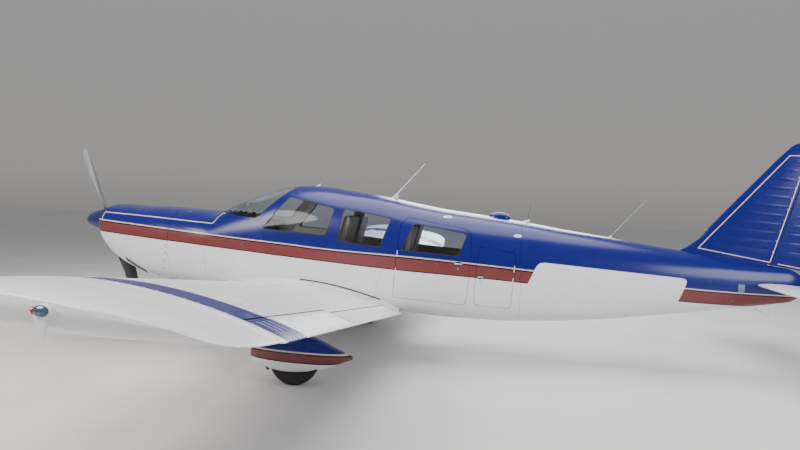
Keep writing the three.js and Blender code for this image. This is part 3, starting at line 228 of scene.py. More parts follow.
def outward(obj):
    work = bmesh.new()
    work.from_mesh(obj.data)
    bmesh.ops.recalc_face_normals(work, faces=work.faces)
    work.to_mesh(obj.data)
    work.free()
    return obj


def loft(name, rings, *materials, shut=True):
    count = len(rings[0])
    faces = []
    for row in range(len(rings) - 1):
        for k in range(count):
            a, b = row * count + k, row * count + (k + 1) % count
            faces.append((a, b, b + count, a + count))
    if shut:
        last = (len(rings) - 1) * count
        faces += [tuple(range(count)), tuple(range(last, last + count))]
    return outward(meshObject(name, [p for ring in rings for p in ring], faces, *materials))


def applied(obj):  # makes the result of the modifiers the object's own mesh
    graph = bpy.context.evaluated_depsgraph_get()
    mesh = bpy.data.meshes.new_from_object(obj.evaluated_get(graph))
    obj.modifiers.clear()
    old = obj.data
    obj.data = mesh
    bpy.data.meshes.remove(old)
    return obj


def discard(*objects):
    for obj in objects:
        bpy.data.objects.remove(obj)


def carve(obj, *tools, operation="DIFFERENCE", keep=False):
    for tool in tools:
        cut = obj.modifiers.new("cut", "BOOLEAN")
        cut.object = tool
        cut.operation = operation
        cut.solver = "MANIFOLD"
        cut.material_mode = "TRANSFER"
    applied(obj)
    if not keep:
        discard(*tools)
    return obj


def copied(obj, name):
    twin = obj.copy()
    twin.data = obj.data.copy()
    twin.name = name
    bpy.context.scene.collection.objects.link(twin)
    return twin


def joined(name, *objects):  # one object from many, with their materials kept
    work = bmesh.new()
    materials = []
    for obj in objects:
        part = obj.data.copy()
        places = []
        for material in obj.data.materials:
            if material not in materials:
                materials.append(material)
            places.append(materials.index(material))
        for face in part.polygons:
            face.material_index = places[face.material_index] if places else 0
        work.from_mesh(part)
        bpy.data.meshes.remove(part)
    mesh = bpy.data.meshes.new(name)
    work.to_mesh(mesh)
    work.free()
    for material in materials:
        mesh.materials.append(material)
    discard(*objects)
    obj = bpy.data.objects.new(name, mesh)
    bpy.context.scene.collection.objects.link(obj)
    return obj


def smooth(obj, degrees=32):
    obj.data.shade_smooth()
    obj.data.set_sharp_from_angle(angle=math.radians(degrees))
    return obj


# Takes a cut skin's shading from the whole surface that it was cut from
def matchShading(obj, whole, nearness=0.003, likeness=0.86):
    smooth(whole)
    source = whole.data
    source.calc_loop_triangles()
    triangles = source.loop_triangles
    tree = BVHTree.FromPolygons([v.co for v in source.vertices], [t.vertices for t in triangles])
    corners = [n.vector.copy() for n in source.corner_normals]
    mesh = obj.data
    mesh.shade_smooth()
    normals = [None] * len(mesh.loops)
    for face in mesh.polygons:
        middle = face.center
        for index in face.loop_indices:
            spot = mesh.vertices[mesh.loops[index].vertex_index].co.lerp(middle, 0.01)
            near, _, hit, _ = tree.find_nearest(spot, nearness)
            normals[index] = face.normal.copy()
            if hit is None:
                continue
            triangle = triangles[hit]
            weights = poly_3d_calc([source.vertices[v].co for v in triangle.vertices], near)
            normal = sum((corners[c] * w for c, w in zip(triangle.loops, weights)), Vector())
            if normal.dot(face.normal) > likeness:
                normals[index] = normal.normalized()
    mesh.normals_split_custom_set(normals)
    return obj


# a bar along a path, with one radius or one for each point
def tube(name, points, radius, *materials, sides=10):
    points = [Vector(p) for p in points]
    radii = radius if isinstance(radius, (list, tuple)) else [radius] * len(points)
    ahead = (points[1] - points[0]).normalized()
    across = ahead.orthogonal().normalized()
    rings = []
    for k, point in enumerate(points):
        before, after = points[max(0, k - 1)], points[min(len(points) - 1, k + 1)]
        along = (after - before).normalized()
        across = (across - along * across.dot(along)).normalized()
        other = along.cross(across)
        rings.append([point + (across * c + other * s) * radii[k] for c, s in circle(sides)])
    return smooth(loft(name, rings, *materials), 50)


# profile: radius, distance along the axis
def lathe(name, profile, origin, axis, *materials, sides=48, shut=False):
    axis = Vector(axis).normalized()
    across = axis.orthogonal().normalized()
    other = axis.cross(across)
    origin = Vector(origin)
    rings = []
    for radius, along in profile:
        radius = max(radius, 0.0002)
        rings.append([origin + axis * along + (across * c + other * s) * radius for c, s in circle(sides)])
    if not shut:
        return smooth(loft(name, rings, *materials), 35)
    count = len(rings)
    faces = []
    for row in range(count):
        for k in range(sides):
            a, b = row * sides + k, row * sides + (k + 1) % sides
            c = ((row + 1) % count) * sides
            faces.append((a, b, c + (k + 1) % sides, c + k))
    return smooth(outward(meshObject(name, [p for ring in rings for p in ring], faces, *materials)), 35)


def block(name, low, high, *materials, bevel=0.0, segments=2):
    (x0, y0, z0), (x1, y1, z1) = low, high
    points = [(x, y, z) for x in (x0, x1) for y in (y0, y1) for z in (z0, z1)]
    faces = [(0, 1, 3, 2), (4, 6, 7, 5), (0, 4, 5, 1), (2, 3, 7, 6), (0, 2, 6, 4), (1, 5, 7, 3)]
    obj = outward(meshObject(name, points, faces, *materials))
    return rounded(obj, bevel, segments) if bevel else obj


def rounded(obj, width, segments=2, degrees=40):
    edge = obj.modifiers.new("edge", "BEVEL")
    edge.width = width
    edge.segments = segments
    edge.limit_method = "ANGLE"
    edge.angle_limit = math.radians(degrees)
    edge.harden_normals = False
    return smooth(applied(obj), 40)


# Outlines in side view
def grown(outline, distance):
    area = sum(x * v - u * y for (x, y), (u, v) in zip(outline, outline[1:] + outline[:1]))
    sign = 1 if area > 0 else -1
    edges = []
    for (x, y), (u, v) in zip(outline, outline[1:] + outline[:1]):
        length = math.hypot(u - x, v - y)
        normal = (sign * (v - y) / length, -sign * (u - x) / length)
        edges.append((normal, normal[0] * x + normal[1] * y + distance))
    points = []
    for (n0, d0), (n1, d1) in zip(edges[-1:] + edges[:-1], edges):
        cross = n0[0] * n1[1] - n0[1] * n1[0]
        points.append(((d0 * n1[1] - d1 * n0[1]) / cross, (n0[0] * d1 - n1[0] * d0) / cross))
    return points


def softened(outline, radius, steps=8, spacing=0.0):  # round corners, and points along the straight edges
    points = []
    count = len(outline)
    for k in range(count):
        before, here, after = (Vector(outline[(k + j) % count]) for j in (-1, 0, 1))
        back, ahead = before - here, after - here
        start = here + back.normalized() * min(radius, back.length * 0.45)
        end = here + ahead.normalized() * min(radius, ahead.length * 0.45)
        for step in range(steps + 1):
            t = step / steps
            points.append(start * (1 - t) ** 2 + here * 2 * t * (1 - t) + end * t ** 2)
    if not spacing:
        return points
    dense = []
    for a, b in zip(points, points[1:] + points[:1]):
        pieces = max(1, round((b - a).length / spacing))
        dense += [a.lerp(b, j / pieces) for j in range(pieces)]
    return dense


def sideView(outline):
    return [(at(station), z) for station, z in outline]


def prism(outline, fromY, toY, *materials, shift=None, slices=1):
    rings = []
    for step in range(slices + 1):
        y = fromY + (toY - fromY) * step / slices
        rings.append([Vector((shift(x, abs(y), z) if shift else x, y, z)) for x, z in outline])
    return loft("prism", rings, *materials)


# Fuselage sections: station, then half width, bottom, top and height of the widest point in
# millimetres, then the powers of the upper and lower curve
bodySections = [
    (0.8, 330, 1195, 1485, 1350, 2.3, 2.2), (2.0, 390, 1100, 1530, 1335, 2.3, 2.2),
    (5.0, 432, 973, 1548, 1310, 2.3, 2.2), (10.0, 465, 873, 1548, 1270, 2.4, 2.2),
    (18.0, 500, 779, 1538, 1230, 2.4, 2.3), (28.0, 532, 703, 1540, 1200, 2.5, 2.4),
    (38.5, 556, 676, 1527, 1170, 2.6, 2.6), (48.0, 580, 660, 1514, 1140, 2.7, 2.8),
    (56.0, 596, 649, 1493, 1110, 2.8, 3.0), (61.6, 604, 641, 1570, 1080, 2.8, 3.0),
    (70.0, 615, 629, 1663, 1050, 2.8, 3.2), (78.4, 625, 620, 1745, 1030, 2.8, 3.3),
    (86.0, 633, 604, 1800, 1010, 2.9, 3.4), (93.3, 638, 589, 1821, 1000, 2.9, 3.5),
    (103.0, 640, 569, 1816, 990, 2.9, 3.5), (113.4, 640, 548, 1783, 980, 2.9, 3.5),
    (128.5, 632, 515, 1731, 965, 2.9, 3.4), (145.5, 612, 474, 1650, 950, 2.8, 3.3),
    (156.0, 590, 449, 1605, 940, 2.8, 3.2), (170.0, 552, 435, 1560, 930, 2.7, 3.0),
    (182.0, 514, 431, 1519, 925, 2.6, 2.9), (188.5, 494, 436, 1497, 922, 2.6, 2.8),
    (206.0, 432, 457, 1426, 918, 2.5, 2.7), (222.0, 376, 491, 1369, 916, 2.4, 2.6),
    (240.0, 314, 549, 1299, 918, 2.4, 2.5), (254.0, 262, 596, 1250, 920, 2.3, 2.4),
    (268.0, 205, 651, 1200, 924, 2.3, 2.4), (280.0, 152, 696, 1160, 928, 2.2, 2.3),
    (290.0, 104, 736, 1120, 932, 2.2, 2.2), (297.0, 70, 775, 1085, 935, 2.2, 2.2),
    (300.5, 34, 830, 1030, 936, 2.1, 2.1),
]
windshieldFoot = 8  # the row where the roof line breaks upwards
body = {"ringPoints": 120, "step": 0.036, "cabinWall": 0.030, "cowlWall": 0.016, "noseWall": 0.020,
        "tailWall": 0.006, "cowlFront": 0.8, "firewall": 38.5, "noseRear": 56.5, "cabinRear": 188.4,
        "coneEnd": 300.5, "seam": 0.0019}


def secant(rows, k, column):
    return (rows[k + 1][column] - rows[k][column]) / (rows[k + 1][0] - rows[k][0])


def curveThrough(rows, where, breaks=()):  # a smooth curve through every column of a table
    k = 0
    while k < len(rows) - 2 and rows[k + 1][0] < where:
        k += 1
    low, high = rows[k], rows[k + 1]
    span = high[0] - low[0]
    t = (where - low[0]) / span
    values = []
    for column in range(1, len(low)):
        chord = secant(rows, k, column)
        start = end = chord
        if k > 0 and k not in breaks:
            before = low[0] - rows[k - 1][0]
            start = (secant(rows, k - 1, column) * span + chord * before) / (span + before)
        if k < len(rows) - 2 and k + 1 not in breaks:
            after = rows[k + 2][0] - high[0]
            end = (secant(rows, k + 1, column) * span + chord * after) / (span + after)
        values.append(low[column] * (2 * t ** 3 - 3 * t ** 2 + 1) + high[column] * (3 * t ** 2 - 2 * t ** 3)
                      + span * (start * (t ** 3 - 2 * t ** 2 + t) + end * (t ** 3 - t ** 2)))
    return values


sectionStore = {}


def bodyAt(x):
    key = round(x, 5)
    if key not in sectionStore:
        half, bottom, top, waist, upper, lower = curveThrough(bodySections, (x + datum) / inch,
                                                              (windshieldFoot,))
        sectionStore[key] = (half / 1000, bottom / 1000, top / 1000, waist / 1000, upper, lower)
    return sectionStore[key]


def skinPoint(x, angle, inset=0.0):
    half, bottom, top, waist, upper, lower = bodyAt(x)
    c, s = math.cos(angle), math.sin(angle)
    power, height = (upper, top - waist) if s >= 0 else (lower, waist - bottom)
    reach = (abs(c) ** power + abs(s) ** power) ** (-1 / power)
    return Vector((x, (half - inset) * reach * c, waist + (height - inset) * reach * s))


def skinSide(x, z, inset=0.0):  # distance of the skin from the middle plane
    half, bottom, top, waist, upper, lower = bodyAt(x)
    power, height = (upper, top - waist - inset) if z >= waist else (lower, waist - bottom - inset)
    return (half - inset) * max(0.0, 1 - abs((z - waist) / height) ** power) ** (1 / power)


def onSkin(x, z, side, inset=0.0):
    return Vector((x, side * skinSide(x, z, inset), z))


def skinNormal(x, z, side, step=0.004):
    dz = onSkin(x, z + step, side) - onSkin(x, z - step, side)
    dx = onSkin(x + step, z, side) - onSkin(x - step, z, side)
    normal = dz.cross(dx).normalized()
    return normal if normal.y * side > 0 else -normal


def hull(name, fromX, toX, inset, *materials, count=None, step=None):
    count = count or body["ringPoints"]
    foot = at(bodySections[windshieldFoot][0])
    places = [fromX]
    for start, end in ((fromX, min(foot, toX)), (max(foot, fromX), toX)):
        if end > start:
            pieces = max(1, round((end - start) / (step or body["step"])))
            places += [start + (end - start) * (k + 1) / pieces for k in range(pieces)]
    rings = []
    for x in places:
        evened = (turn(count, k) + 0.03 * math.sin(4 * turn(count, k)) for k in range(count))
        rings.append([skinPoint(x, angle, inset) for angle in evened])
    return loft(name, rings, *materials)


# Paint schemes. Heights are metres at stations; the stripe is cream, dark, copper and dark from its top down
livery = {
    "top": [(0, 1.386), (8.9, 1.369), (40.3, 1.304), (71.7, 1.238), (93.8, 1.196), (106.7, 1.168),
            (148.3, 1.108),
            (176.2, 1.054), (191.8, 1.020), (254, 0.886), (278.8, 0.851), (300.5, 0.835)],
    "bottom": [(0, 1.249), (9.5, 1.230), (41, 1.167), (72.5, 1.102), (94.2, 1.056), (136.3, 0.973),
               (176.4, 0.908),
               (251.8, 0.742), (278.3, 0.706), (300.5, 0.690)],
    "creamLine": 0.013, "darkLine": 0.013, "pinstripe": 0.0045,
    "panelTop": [(195.3, 1.101), (254.5, 0.978)], "panelLeft": [(189.9, 0.796), (195.3, 1.101)],
    "panelRight": [(254.5, 0.978), (251.0, 0.752)], "panelCorner": 0.10,
    "cowlLine": [(4.1, 1.370), (4.4, 1.459), (32.7, 1.419), (57.6, 1.376), (58.7, 1.384), (60.0, 1.455),
                 (61.2, 1.484),
                 (63.7, 1.496)],
    "finLine": [(260.1, 1.285), (293.4, 2.259), (299.9, 2.259), (287.6, 1.165), (260.1, 1.285)],
    "rudderLine": [(290.7, 1.150), (306.5, 1.083)],
    "wingBand": (3.95, 4.262),
    "mainPant": {"top": [(94, 0.337), (110, 0.327), (134, 0.302)],
                 "bottom": [(94, 0.245), (110, 0.224), (134, 0.212)]},
    "nosePant": {"top": [(-2, 0.337), (16, 0.327), (40, 0.302)],
                 "bottom": [(-2, 0.245), (16, 0.224), (40, 0.212)]},
}


def curveOf(put, station, table):  # a smooth height over the stations
    first, last = table[0][0], table[-1][0]
    heights = [z for _, z in table]
    low, high = min(heights) - 0.05, max(heights) + 0.05
    node = put.add("ShaderNodeFloatCurve")
    spots = [((s - first) / (last - first), (z - low) / (high - low)) for s, z in table]
    points = node.mapping.curves[0].points
    points[0].location, points[-1].location = spots[0], spots[-1]
    for spot in spots[1:-1]:
        points.new(*spot)
    node.mapping.update()
    put.link(put.add("ShaderNodeMapRange", station, first, last, 0.0, 1.0).outputs[0], node.inputs[1])
    return put.math("MULTIPLY_ADD", node.outputs[0], high - low, low)


def sideCoordinates(put, place):
    apart = put.add("ShaderNodeSeparateXYZ", place)
    station = put.math("MULTIPLY_ADD", apart.outputs[0], 1 / inch, datum / inch)
    return station, apart.outputs[1], apart.outputs[2]


def strokeGap(put, place, path):  # distance in side view from a line through stations and heights
    flat = put.vector("MULTIPLY", place, (1, 0, 1)).outputs[0]
    gaps = []
    for (s0, z0), (s1, z1) in zip(path, path[1:]):
        start, end = Vector((at(s0), 0, z0)), Vector((at(s1), 0, z1))
        along = end - start
        offset = put.vector("SUBTRACT", flat, start).outputs[0]
        share = put.vector("DOT_PRODUCT", offset, along / along.length_squared).outputs[1]
        foot = put.add("ShaderNodeVectorMath", along, operation="SCALE",
                       Scale=put.add("ShaderNodeClamp", share).outputs[0])
        gap = put.vector("LENGTH", put.vector("SUBTRACT", offset, foot.outputs[0]).outputs[0])
        gaps.append(gap.outputs[1])
    return put.least(gaps)


def insideLine(put, place, line, under):  # how far a point is under, or right or left of, a slanting line
    (s0, z0), (s1, z1) = line
    along = Vector((at(s1) - at(s0), 0, z1 - z0)).normalized()
    normal = Vector((along.z, 0, -along.x))
    if normal.dot(Vector(under)) < 0:
        normal = -normal
    reach = put.vector("DOT_PRODUCT", place, normal).outputs[1]
    return put.math("SUBTRACT", reach, normal.dot(Vector((at(s0), 0, z0))))


def stripeColours(put, station, z, tops, bottoms, above):
    fromTop = put.math("SUBTRACT", curveOf(put, station, tops), z)
    fromBottom = put.math("SUBTRACT", z, curveOf(put, station, bottoms))
    cream, dark = livery["creamLine"], livery["darkLine"]
    colour = put.mix(put.math("GREATER_THAN", fromTop, 0.0), above, (*colours["cream"], 1))
    colour = put.mix(put.math("GREATER_THAN", fromTop, cream), colour, (*colours["dark"], 1))
    colour = put.mix(put.math("GREATER_THAN", fromTop, cream + dark), colour, (*colours["copper"], 1))
    colour = put.mix(put.math("LESS_THAN", fromBottom, dark * 0.8), colour, (*colours["dark"], 1))
    return put.mix(put.math("LESS_THAN", fromBottom, 0.0), colour, (*colours["white"], 1))


def lineOver(put, place, path, colour):
    near = put.math("LESS_THAN", strokeGap(put, place, path), livery["pinstripe"])
    return put.mix(near, colour, (*colours["cream"], 1))


def bodyPaint(put, place):
    station, _, z = sideCoordinates(put, place)
    colour = stripeColours(put, station, z, livery["top"], livery["bottom"], (*colours["blue"], 1))
    edges = [insideLine(put, place, livery["panelTop"], (0, 0, -1)),
             insideLine(put, place, livery["panelLeft"], (1, 0, 0)),
             insideLine(put, place, livery["panelRight"], (-1, 0, 0))]
    corner = livery["panelCorner"]
    inside = put.math("SMOOTH_MIN", put.math("SMOOTH_MIN", edges[0], edges[1], corner), edges[2], corner)
    colour = put.mix(put.math("GREATER_THAN", inside, 0.0), colour, (*colours["white"], 1))
    return lineOver(put, place, livery["cowlLine"], colour)


def finPaint(put, place):
    return lineOver(put, place, livery["finLine"], lineOver(put, place, livery["rudderLine"],
                                                            (*colours["blue"], 1)))


def wingPaint(put, place):
    _, y, _ = sideCoordinates(put, place)
    low, high = livery["wingBand"]
    offset = put.math("ABSOLUTE", put.math("SUBTRACT", put.math("ABSOLUTE", y), (low + high) / 2))
    return put.mix(put.math("LESS_THAN", offset, (high - low) / 2), (*colours["white"], 1),
                   (*colours["blue"], 1))


def pantPaint(key):
    def paint(put, place):
        station, _, z = sideCoordinates(put, place)
        return stripeColours(put, station, z, livery[key]["top"], livery[key]["bottom"],
                             (*colours["blue"], 1))
    return paint


gloss = {"roughness": 0.24, "coat": 0.22, "mottle": 0.03, "grain": 0.02, "grainScale": 60.0,
         "Specular_IOR_Level": 0.3, "Coat_Roughness": 0.2}
finishes = {
    "body": surface("bodyLivery", None, paint=bodyPaint, **gloss),
    "fin": surface("finLivery", None, paint=finPaint, **gloss),
    "wing": surface("wingLivery", None, paint=wingPaint, **gloss),
    "mainPant": surface("mainPantLivery", None, paint=pantPaint("mainPant"), **gloss),
    "nosePant": surface("nosePantLivery", None, paint=pantPaint("nosePant"), **gloss),
    "spinner": surface("spinnerEnamel", (0.010, 0.020, 0.105), 0.24, coat=0.5, mottle=0.05, grain=0.02,
                       grainScale=60.0),
    "white": surface("whiteEnamel", colours["white"], **gloss),
    "blue": surface("blueEnamel", colours["blue"], **gloss),
    # the black finish is also painted shade on the nose leg fairing and its strut
    "black": surface("blackEnamelAndPaintedShade", (0.012, 0.012, 0.015), 0.35, coat=0.3, grain=0.05, grainScale=90.0),
    "seal": surface("rubberSeal", (0.015, 0.015, 0.02), 0.6, grain=0.2),
    "glass": surface("tintedAcrylic", (0.80, 0.84, 0.90), 0.02, mottle=0.0, Transmission_Weight=1.0,
                     IOR=1.22),
    "lining": surface("cabinLining", (0.36, 0.34, 0.31), 0.8, grain=0.35, grainScale=700.0),
    "aluminium": surface("bareAluminium", (0.62, 0.63, 0.65), 0.28, metallic=1.0, mottle=0.12, grain=0.08,
                         grainScale=200.0),
    "steel": surface("satinSteel", (0.42, 0.43, 0.45), 0.3, metallic=1.0, mottle=0.15, grain=0.06),
    "chrome": surface("polishedPiston", (0.75, 0.76, 0.78), 0.08, metallic=1.0, mottle=0.02),
    "propeller": surface("greyBlade", (0.055, 0.057, 0.062), 0.4, metallic=0.35, coat=0.2, mottle=0.2,
                         grain=0.1),
    "iron": surface("engineCasting", (0.16, 0.165, 0.175), 0.55, metallic=0.6, mottle=0.25, mottleScale=30.0,
                    grain=0.5),
    "exhaust": surface("scorchedSteel", (0.23, 0.17, 0.13), 0.5, metallic=0.8, mottle=0.4, mottleScale=18.0,
                       grain=0.3),
    "rubber": surface("tyreRubber", (0.018, 0.018, 0.019), 0.82, mottle=0.25, mottleScale=25.0, grain=0.5,
                      grainScale=900.0),
    "redLens": surface("redLens", (0.55, 0.01, 0.01), 0.08, coat=1.0, mottle=0.05, Transmission_Weight=0.3),
    "greenLens": surface("greenLens", (0.01, 0.35, 0.06), 0.08, coat=1.0, mottle=0.05,
                         Transmission_Weight=0.3),
    "clearLens": surface("clearLens", (0.78, 0.80, 0.82), 0.06, coat=1.0, mottle=0.04,
                         Transmission_Weight=0.5),
    "carpet": surface("cabinCarpet", (0.10, 0.095, 0.09), 0.95, mottle=0.3, mottleScale=80.0, grain=1.0,
                      grainScale=1400.0),
    "vinyl": surface("seatVinyl", (0.30, 0.25, 0.21), 0.55, mottle=0.1, grain=0.5, grainScale=900.0),
    "panel": surface("panelPlastic", (0.035, 0.035, 0.04), 0.6, grain=0.4, grainScale=1200.0),
    "dialFace": surface("dialFace", (0.008, 0.008, 0.009), 0.3, coat=0.8, mottle=0.0),
    "dialMark": surface("dialMark", (0.8, 0.8, 0.76), 0.5, mottle=0.02),
    "smokedLens": surface("smokedLens", (0.06, 0.07, 0.17), 0.07, coat=0.8, mottle=0.3, mottleScale=60.0),
    "fastener": surface("darkFastener", (0.05, 0.055, 0.09), 0.4, metallic=0.5, mottle=0.1),
    "navy": surface("navyEnamel", (0.008, 0.012, 0.06), 0.4, coat=0.2),
    "plate": surface("stampedPlate", (0.16, 0.20, 0.30), 0.45, metallic=0.4, mottle=0.15),
    "gripTape": surface("walkwayGrit", (0.03, 0.03, 0.032), 0.95, mottle=0.3, mottleScale=200.0, grain=1.0,
                        grainScale=1500.0),
}
print("finishes made")


def place(obj, bodyName, slot, *nodes):
    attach(obj, bodyName)
    if nodes:
        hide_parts(*nodes)
    return obj


# Small rounded heads on points that carry the direction they stand in and the direction they lie along
def headTree():
    tree = bpy.data.node_groups.new("headsOnPoints", "GeometryNodeTree")
    sockets = [("Geometry", "NodeSocketGeometry"), ("Length", "NodeSocketFloat"),
               ("Width", "NodeSocketFloat"), ("Height", "NodeSocketFloat"), ("Sides", "NodeSocketInt"),
               ("Finish", "NodeSocketMaterial")]
    for name, kind in sockets:
        tree.interface.new_socket(name, in_out="INPUT", socket_type=kind)
    tree.interface.new_socket("Geometry", in_out="OUTPUT", socket_type="NodeSocketGeometry")
    put = Nodes(tree)
    given = put.add("NodeGroupInput")
    lean = put.add("GeometryNodeInputNamedAttribute", "lean", data_type="FLOAT_VECTOR")
    along = put.add("GeometryNodeInputNamedAttribute", "along", data_type="FLOAT_VECTOR")
    way = put.add("FunctionNodeAxesToRotation", lean, along, primary_axis="Z", secondary_axis="X")
    head = put.add("GeometryNodeMeshUVSphere", Segments=given.outputs["Sides"], Rings=4, Radius=1.0)
    size = put.add("ShaderNodeCombineXYZ", given.outputs["Length"], given.outputs["Width"],
                   given.outputs["Height"])
    shaped = put.add("GeometryNodeTransform", head, Scale=size)
    spread = put.add("GeometryNodeInstanceOnPoints", given.outputs["Geometry"], Instance=shaped, Rotation=way)
    solid = put.add("GeometryNodeRealizeInstances", spread)
    soft = put.add("GeometryNodeSetShadeSmooth", solid)
    done = put.add("GeometryNodeSetMaterial", soft, Material=given.outputs["Finish"])
    put.link(done, put.add("NodeGroupOutput").inputs[0])
    return tree


headsOnPoints = headTree()


# a spot is a point, its normal and a direction
def heads(name, spots, length, width, height, finish, sides=6):
    obj = meshObject(name, [spot[0] for spot in spots], [])
    for key, column in (("lean", 1), ("along", 2)):
        values = [c for spot in spots for c in spot[column]]
        obj.data.attributes.new(key, "FLOAT_VECTOR", "POINT").data.foreach_set("vector", values)
    modifier = obj.modifiers.new("heads", "NODES")
    modifier.node_group = headsOnPoints
    given = {"Length": length, "Width": width, "Height": height, "Sides": sides, "Finish": finish}
    for item in headsOnPoints.interface.items_tree:
        if item.in_out == "INPUT" and item.name in given:
            modifier[item.identifier] = given[item.name]
    applied(obj)
    obj.data.materials.clear()
    obj.data.materials.append(finish)
    obj.data.polygons.foreach_set("material_index", [0] * len(obj.data.polygons))
    return obj


# Windows and doors: stations and heights in side view
windows = {
    "windshield": [(54, 1.95), (57.2, 1.494), (79.6, 1.436), (81.2, 1.512), (91.4, 1.757), (93, 1.95)],
    "cockpit": [(81.3, 1.338), (109.3, 1.290), (112.1, 1.584), (91.4, 1.696)],
    "middle": [(113.9, 1.243), (131.8, 1.194), (136.0, 1.500), (115.5, 1.586)],
    "rear": [(140.3, 1.170), (163.7, 1.128), (166.9, 1.361), (144.9, 1.457)],
    "frontDoor": [(82.6, 1.335), (109.0, 1.290), (111.2, 1.575), (94.2, 1.668)],
    "corner": 0.038, "windshieldCorner": 0.07, "inset": 0.0025, "glass": 0.005, "seal": 0.008,
}
doors = {  # width and plane set how the free edge leans, corners are the two on the hinge line
   
    "front": {"outline": [(78.47, 0.892), (112.2, 0.862), (113.4, 1.61), (110.6, 1.668), (92.6, 1.718),
                          (79.74, 1.31)], "side": 1, "width": 0.890, "plane": 0.640, "corners": (0, 5),
              "knuckles": (0.5, 0.82), "hingeY": (0.6342, 0.6145)},
    "rear": {"outline": [(137.6, 0.690), (167.0, 0.634), (169.3, 1.385), (165.6, 1.416), (142.4, 1.508),
                         (139.9, 1.44)], "side": -1, "width": 0.805, "plane": 0.565, "corners": (0, 5),
             "knuckles": (0.36, 0.6), "hingeY": (-0.6297, -0.603)},
    "utility": {"outline": [(169.8, 0.640), (184.6, 0.612), (186.3, 1.18), (171.6, 1.24)], "side": -1,
                "width": 0.396, "plane": 0.560, "corners": (1, 2), "knuckles": (0.5, 0.72),
                "hingeY": (-0.5075, -0.4955)},
    "baggage": {"outline": [(41.2, 0.94), (54.2, 0.912), (54.2, 1.345), (41.2, 1.375)], "side": 1,
                "corners": (3, 2), "knuckles": (0.3, 0.7), "hingeY": (0.499, 0.531)},
}
doorFit = {"corner": 0.045, "panel": 0.0015, "jamb": 0.0052, "bevel": math.tan(math.radians(17)),
           "hingeBand": 0.014}


def hingeEnds(door):
    return [Vector((at(door["outline"][corner][0]), y, door["outline"][corner][1]))
            for corner, y in zip(door["corners"], door["hingeY"])]


def doorPrism(door, extra, *materials):
    outline = softened(grown(sideView(door["outline"]), extra), doorFit["corner"])
    low, high = hingeEnds(door)

    def lean(x, y, z):
        hinge = low.x + (high.x - low.x) * (z - low.z) / (high.z - low.z)
        if "width" not in door or abs(x - hinge) < doorFit["hingeBand"]:
            return x
        return hinge + (x - hinge) * (1 - doorFit["bevel"] * (door["plane"] - y) / door["width"])

    return prism(outline, door["side"] * 0.18, door["side"] * 0.8, *materials, shift=lean)


def pierce(outline, side, extra, *materials):
    return prism(softened(grown(sideView(outline), extra), windows["corner"]), side * 0.18, side * 0.8,
                 *materials)


def windshieldPrism(extra, *materials):
    return prism(softened(grown(sideView(windows["windshield"]), extra), windows["windshieldCorner"]), -0.76,
                 0.76, *materials)


def shell(name, fromX, toX, wall, startWall, endWall, *inside):
    outer = hull(name, fromX, toX, 0, finishes["body"])
    return carve(outer, hull("hollow", fromX + startWall, toX + endWall, wall, *inside, count=72, step=0.09))


# a closed pane that follows the skin
def sidePatch(name, outline, side, insets, rings, *materials, corner=None):
    edge = softened(grown(sideView(outline), -0.0008), corner or windows["corner"], steps=6, spacing=0.03)
    middle = sum(edge, Vector((0, 0))) / len(edge)
    count = len(edge)
    points, faces = [], []
    for inset in insets:
        first = len(points)
        for ring in range(rings):
            share = 1 - ring / rings
            points += [onSkin(*(middle + (spot - middle) * share), side, inset) for spot in edge]
        points.append(onSkin(*middle, side, inset))
        for ring in range(rings - 1):
            for k in range(count):
                a, b = first + ring * count + k, first + ring * count + (k + 1) % count
                faces.append((a, b, b + count, a + count))
        last = first + (rings - 1) * count
        faces += [(last + k, last + (k + 1) % count, len(points) - 1) for k in range(count)]
    half = len(points) // 2
    faces += [(k, (k + 1) % count, half + (k + 1) % count, half + k) for k in range(count)]
    return smooth(outward(meshObject(name, points, faces, *materials)), 40)


# a flat band round an outline, on the skin
def edgeStrip(name, outline, side, growths, insets, *materials, corner=None):
    corner = windows["corner"] if corner is None else corner
    section = [(growths[0], insets[0]), (growths[1], insets[0]), (growths[1], insets[1]),
               (growths[0], insets[1])]
    paths = [softened(grown(sideView(outline), growth), corner, steps=6) for growth, _ in section]
    rings = []
    for k in range(len(paths[0])):
        rings.append([onSkin(path[k].x, path[k].y, side, inset) for path, (_, inset) in zip(paths, section)])
    dense = []
    for a, b in zip(rings, rings[1:] + rings[:1]):
        pieces = max(1, round((b[0] - a[0]).length / 0.03))
        for j in range(pieces):
            row = []
            for (p, q), (_, inset) in zip(zip(a, b), section):
                spot = p.lerp(q, j / pieces)
                row.append(onSkin(spot.x, spot.z, side, inset))
            dense.append(row)
    count = len(dense)
    points = [p for ring in dense for p in ring]
    faces = [(r * 4 + k, r * 4 + (k + 1) % 4, (r + 1) % count * 4 + (k + 1) % 4, (r + 1) % count * 4 + k)
             for r in range(count) for k in range(4)]
    return smooth(outward(meshObject(name, points, faces, *materials)), 40)


def windowPieces(name, outline, side, bodyName, node):
    inset = windows["inset"]
    glass = sidePatch(name, outline, side, (inset, inset + windows["glass"]), 7, finishes["glass"])
    place(glass, bodyName, "glazing", node)
    seal = edgeStrip(name + "Seal", outline, side, (0.0, -windows["seal"]), (inset - 0.0008, inset + 0.009),
                     finishes["seal"])
    place(seal, bodyName, "panel_plastic")


# Cowling
cowl = {"splitFront": 1.228, "splitRear": 1.168, "inletY": 0.262, "inletZ": 1.352, "inletWide": 0.092,
        "inletTall": 0.060, "slot": (1.4, 13.6, 0.066), "outlet": (28.2, 37.2, 0.26)}


def inletRing(side, x, grow=0.0, sides=40):
    middle, wide, tall = side * cowl["inletY"], cowl["inletWide"] + grow, cowl["inletTall"] + grow
    return [Vector((x, middle + wide * c, cowl["inletZ"] + tall * s)) for c, s in circle(sides)]


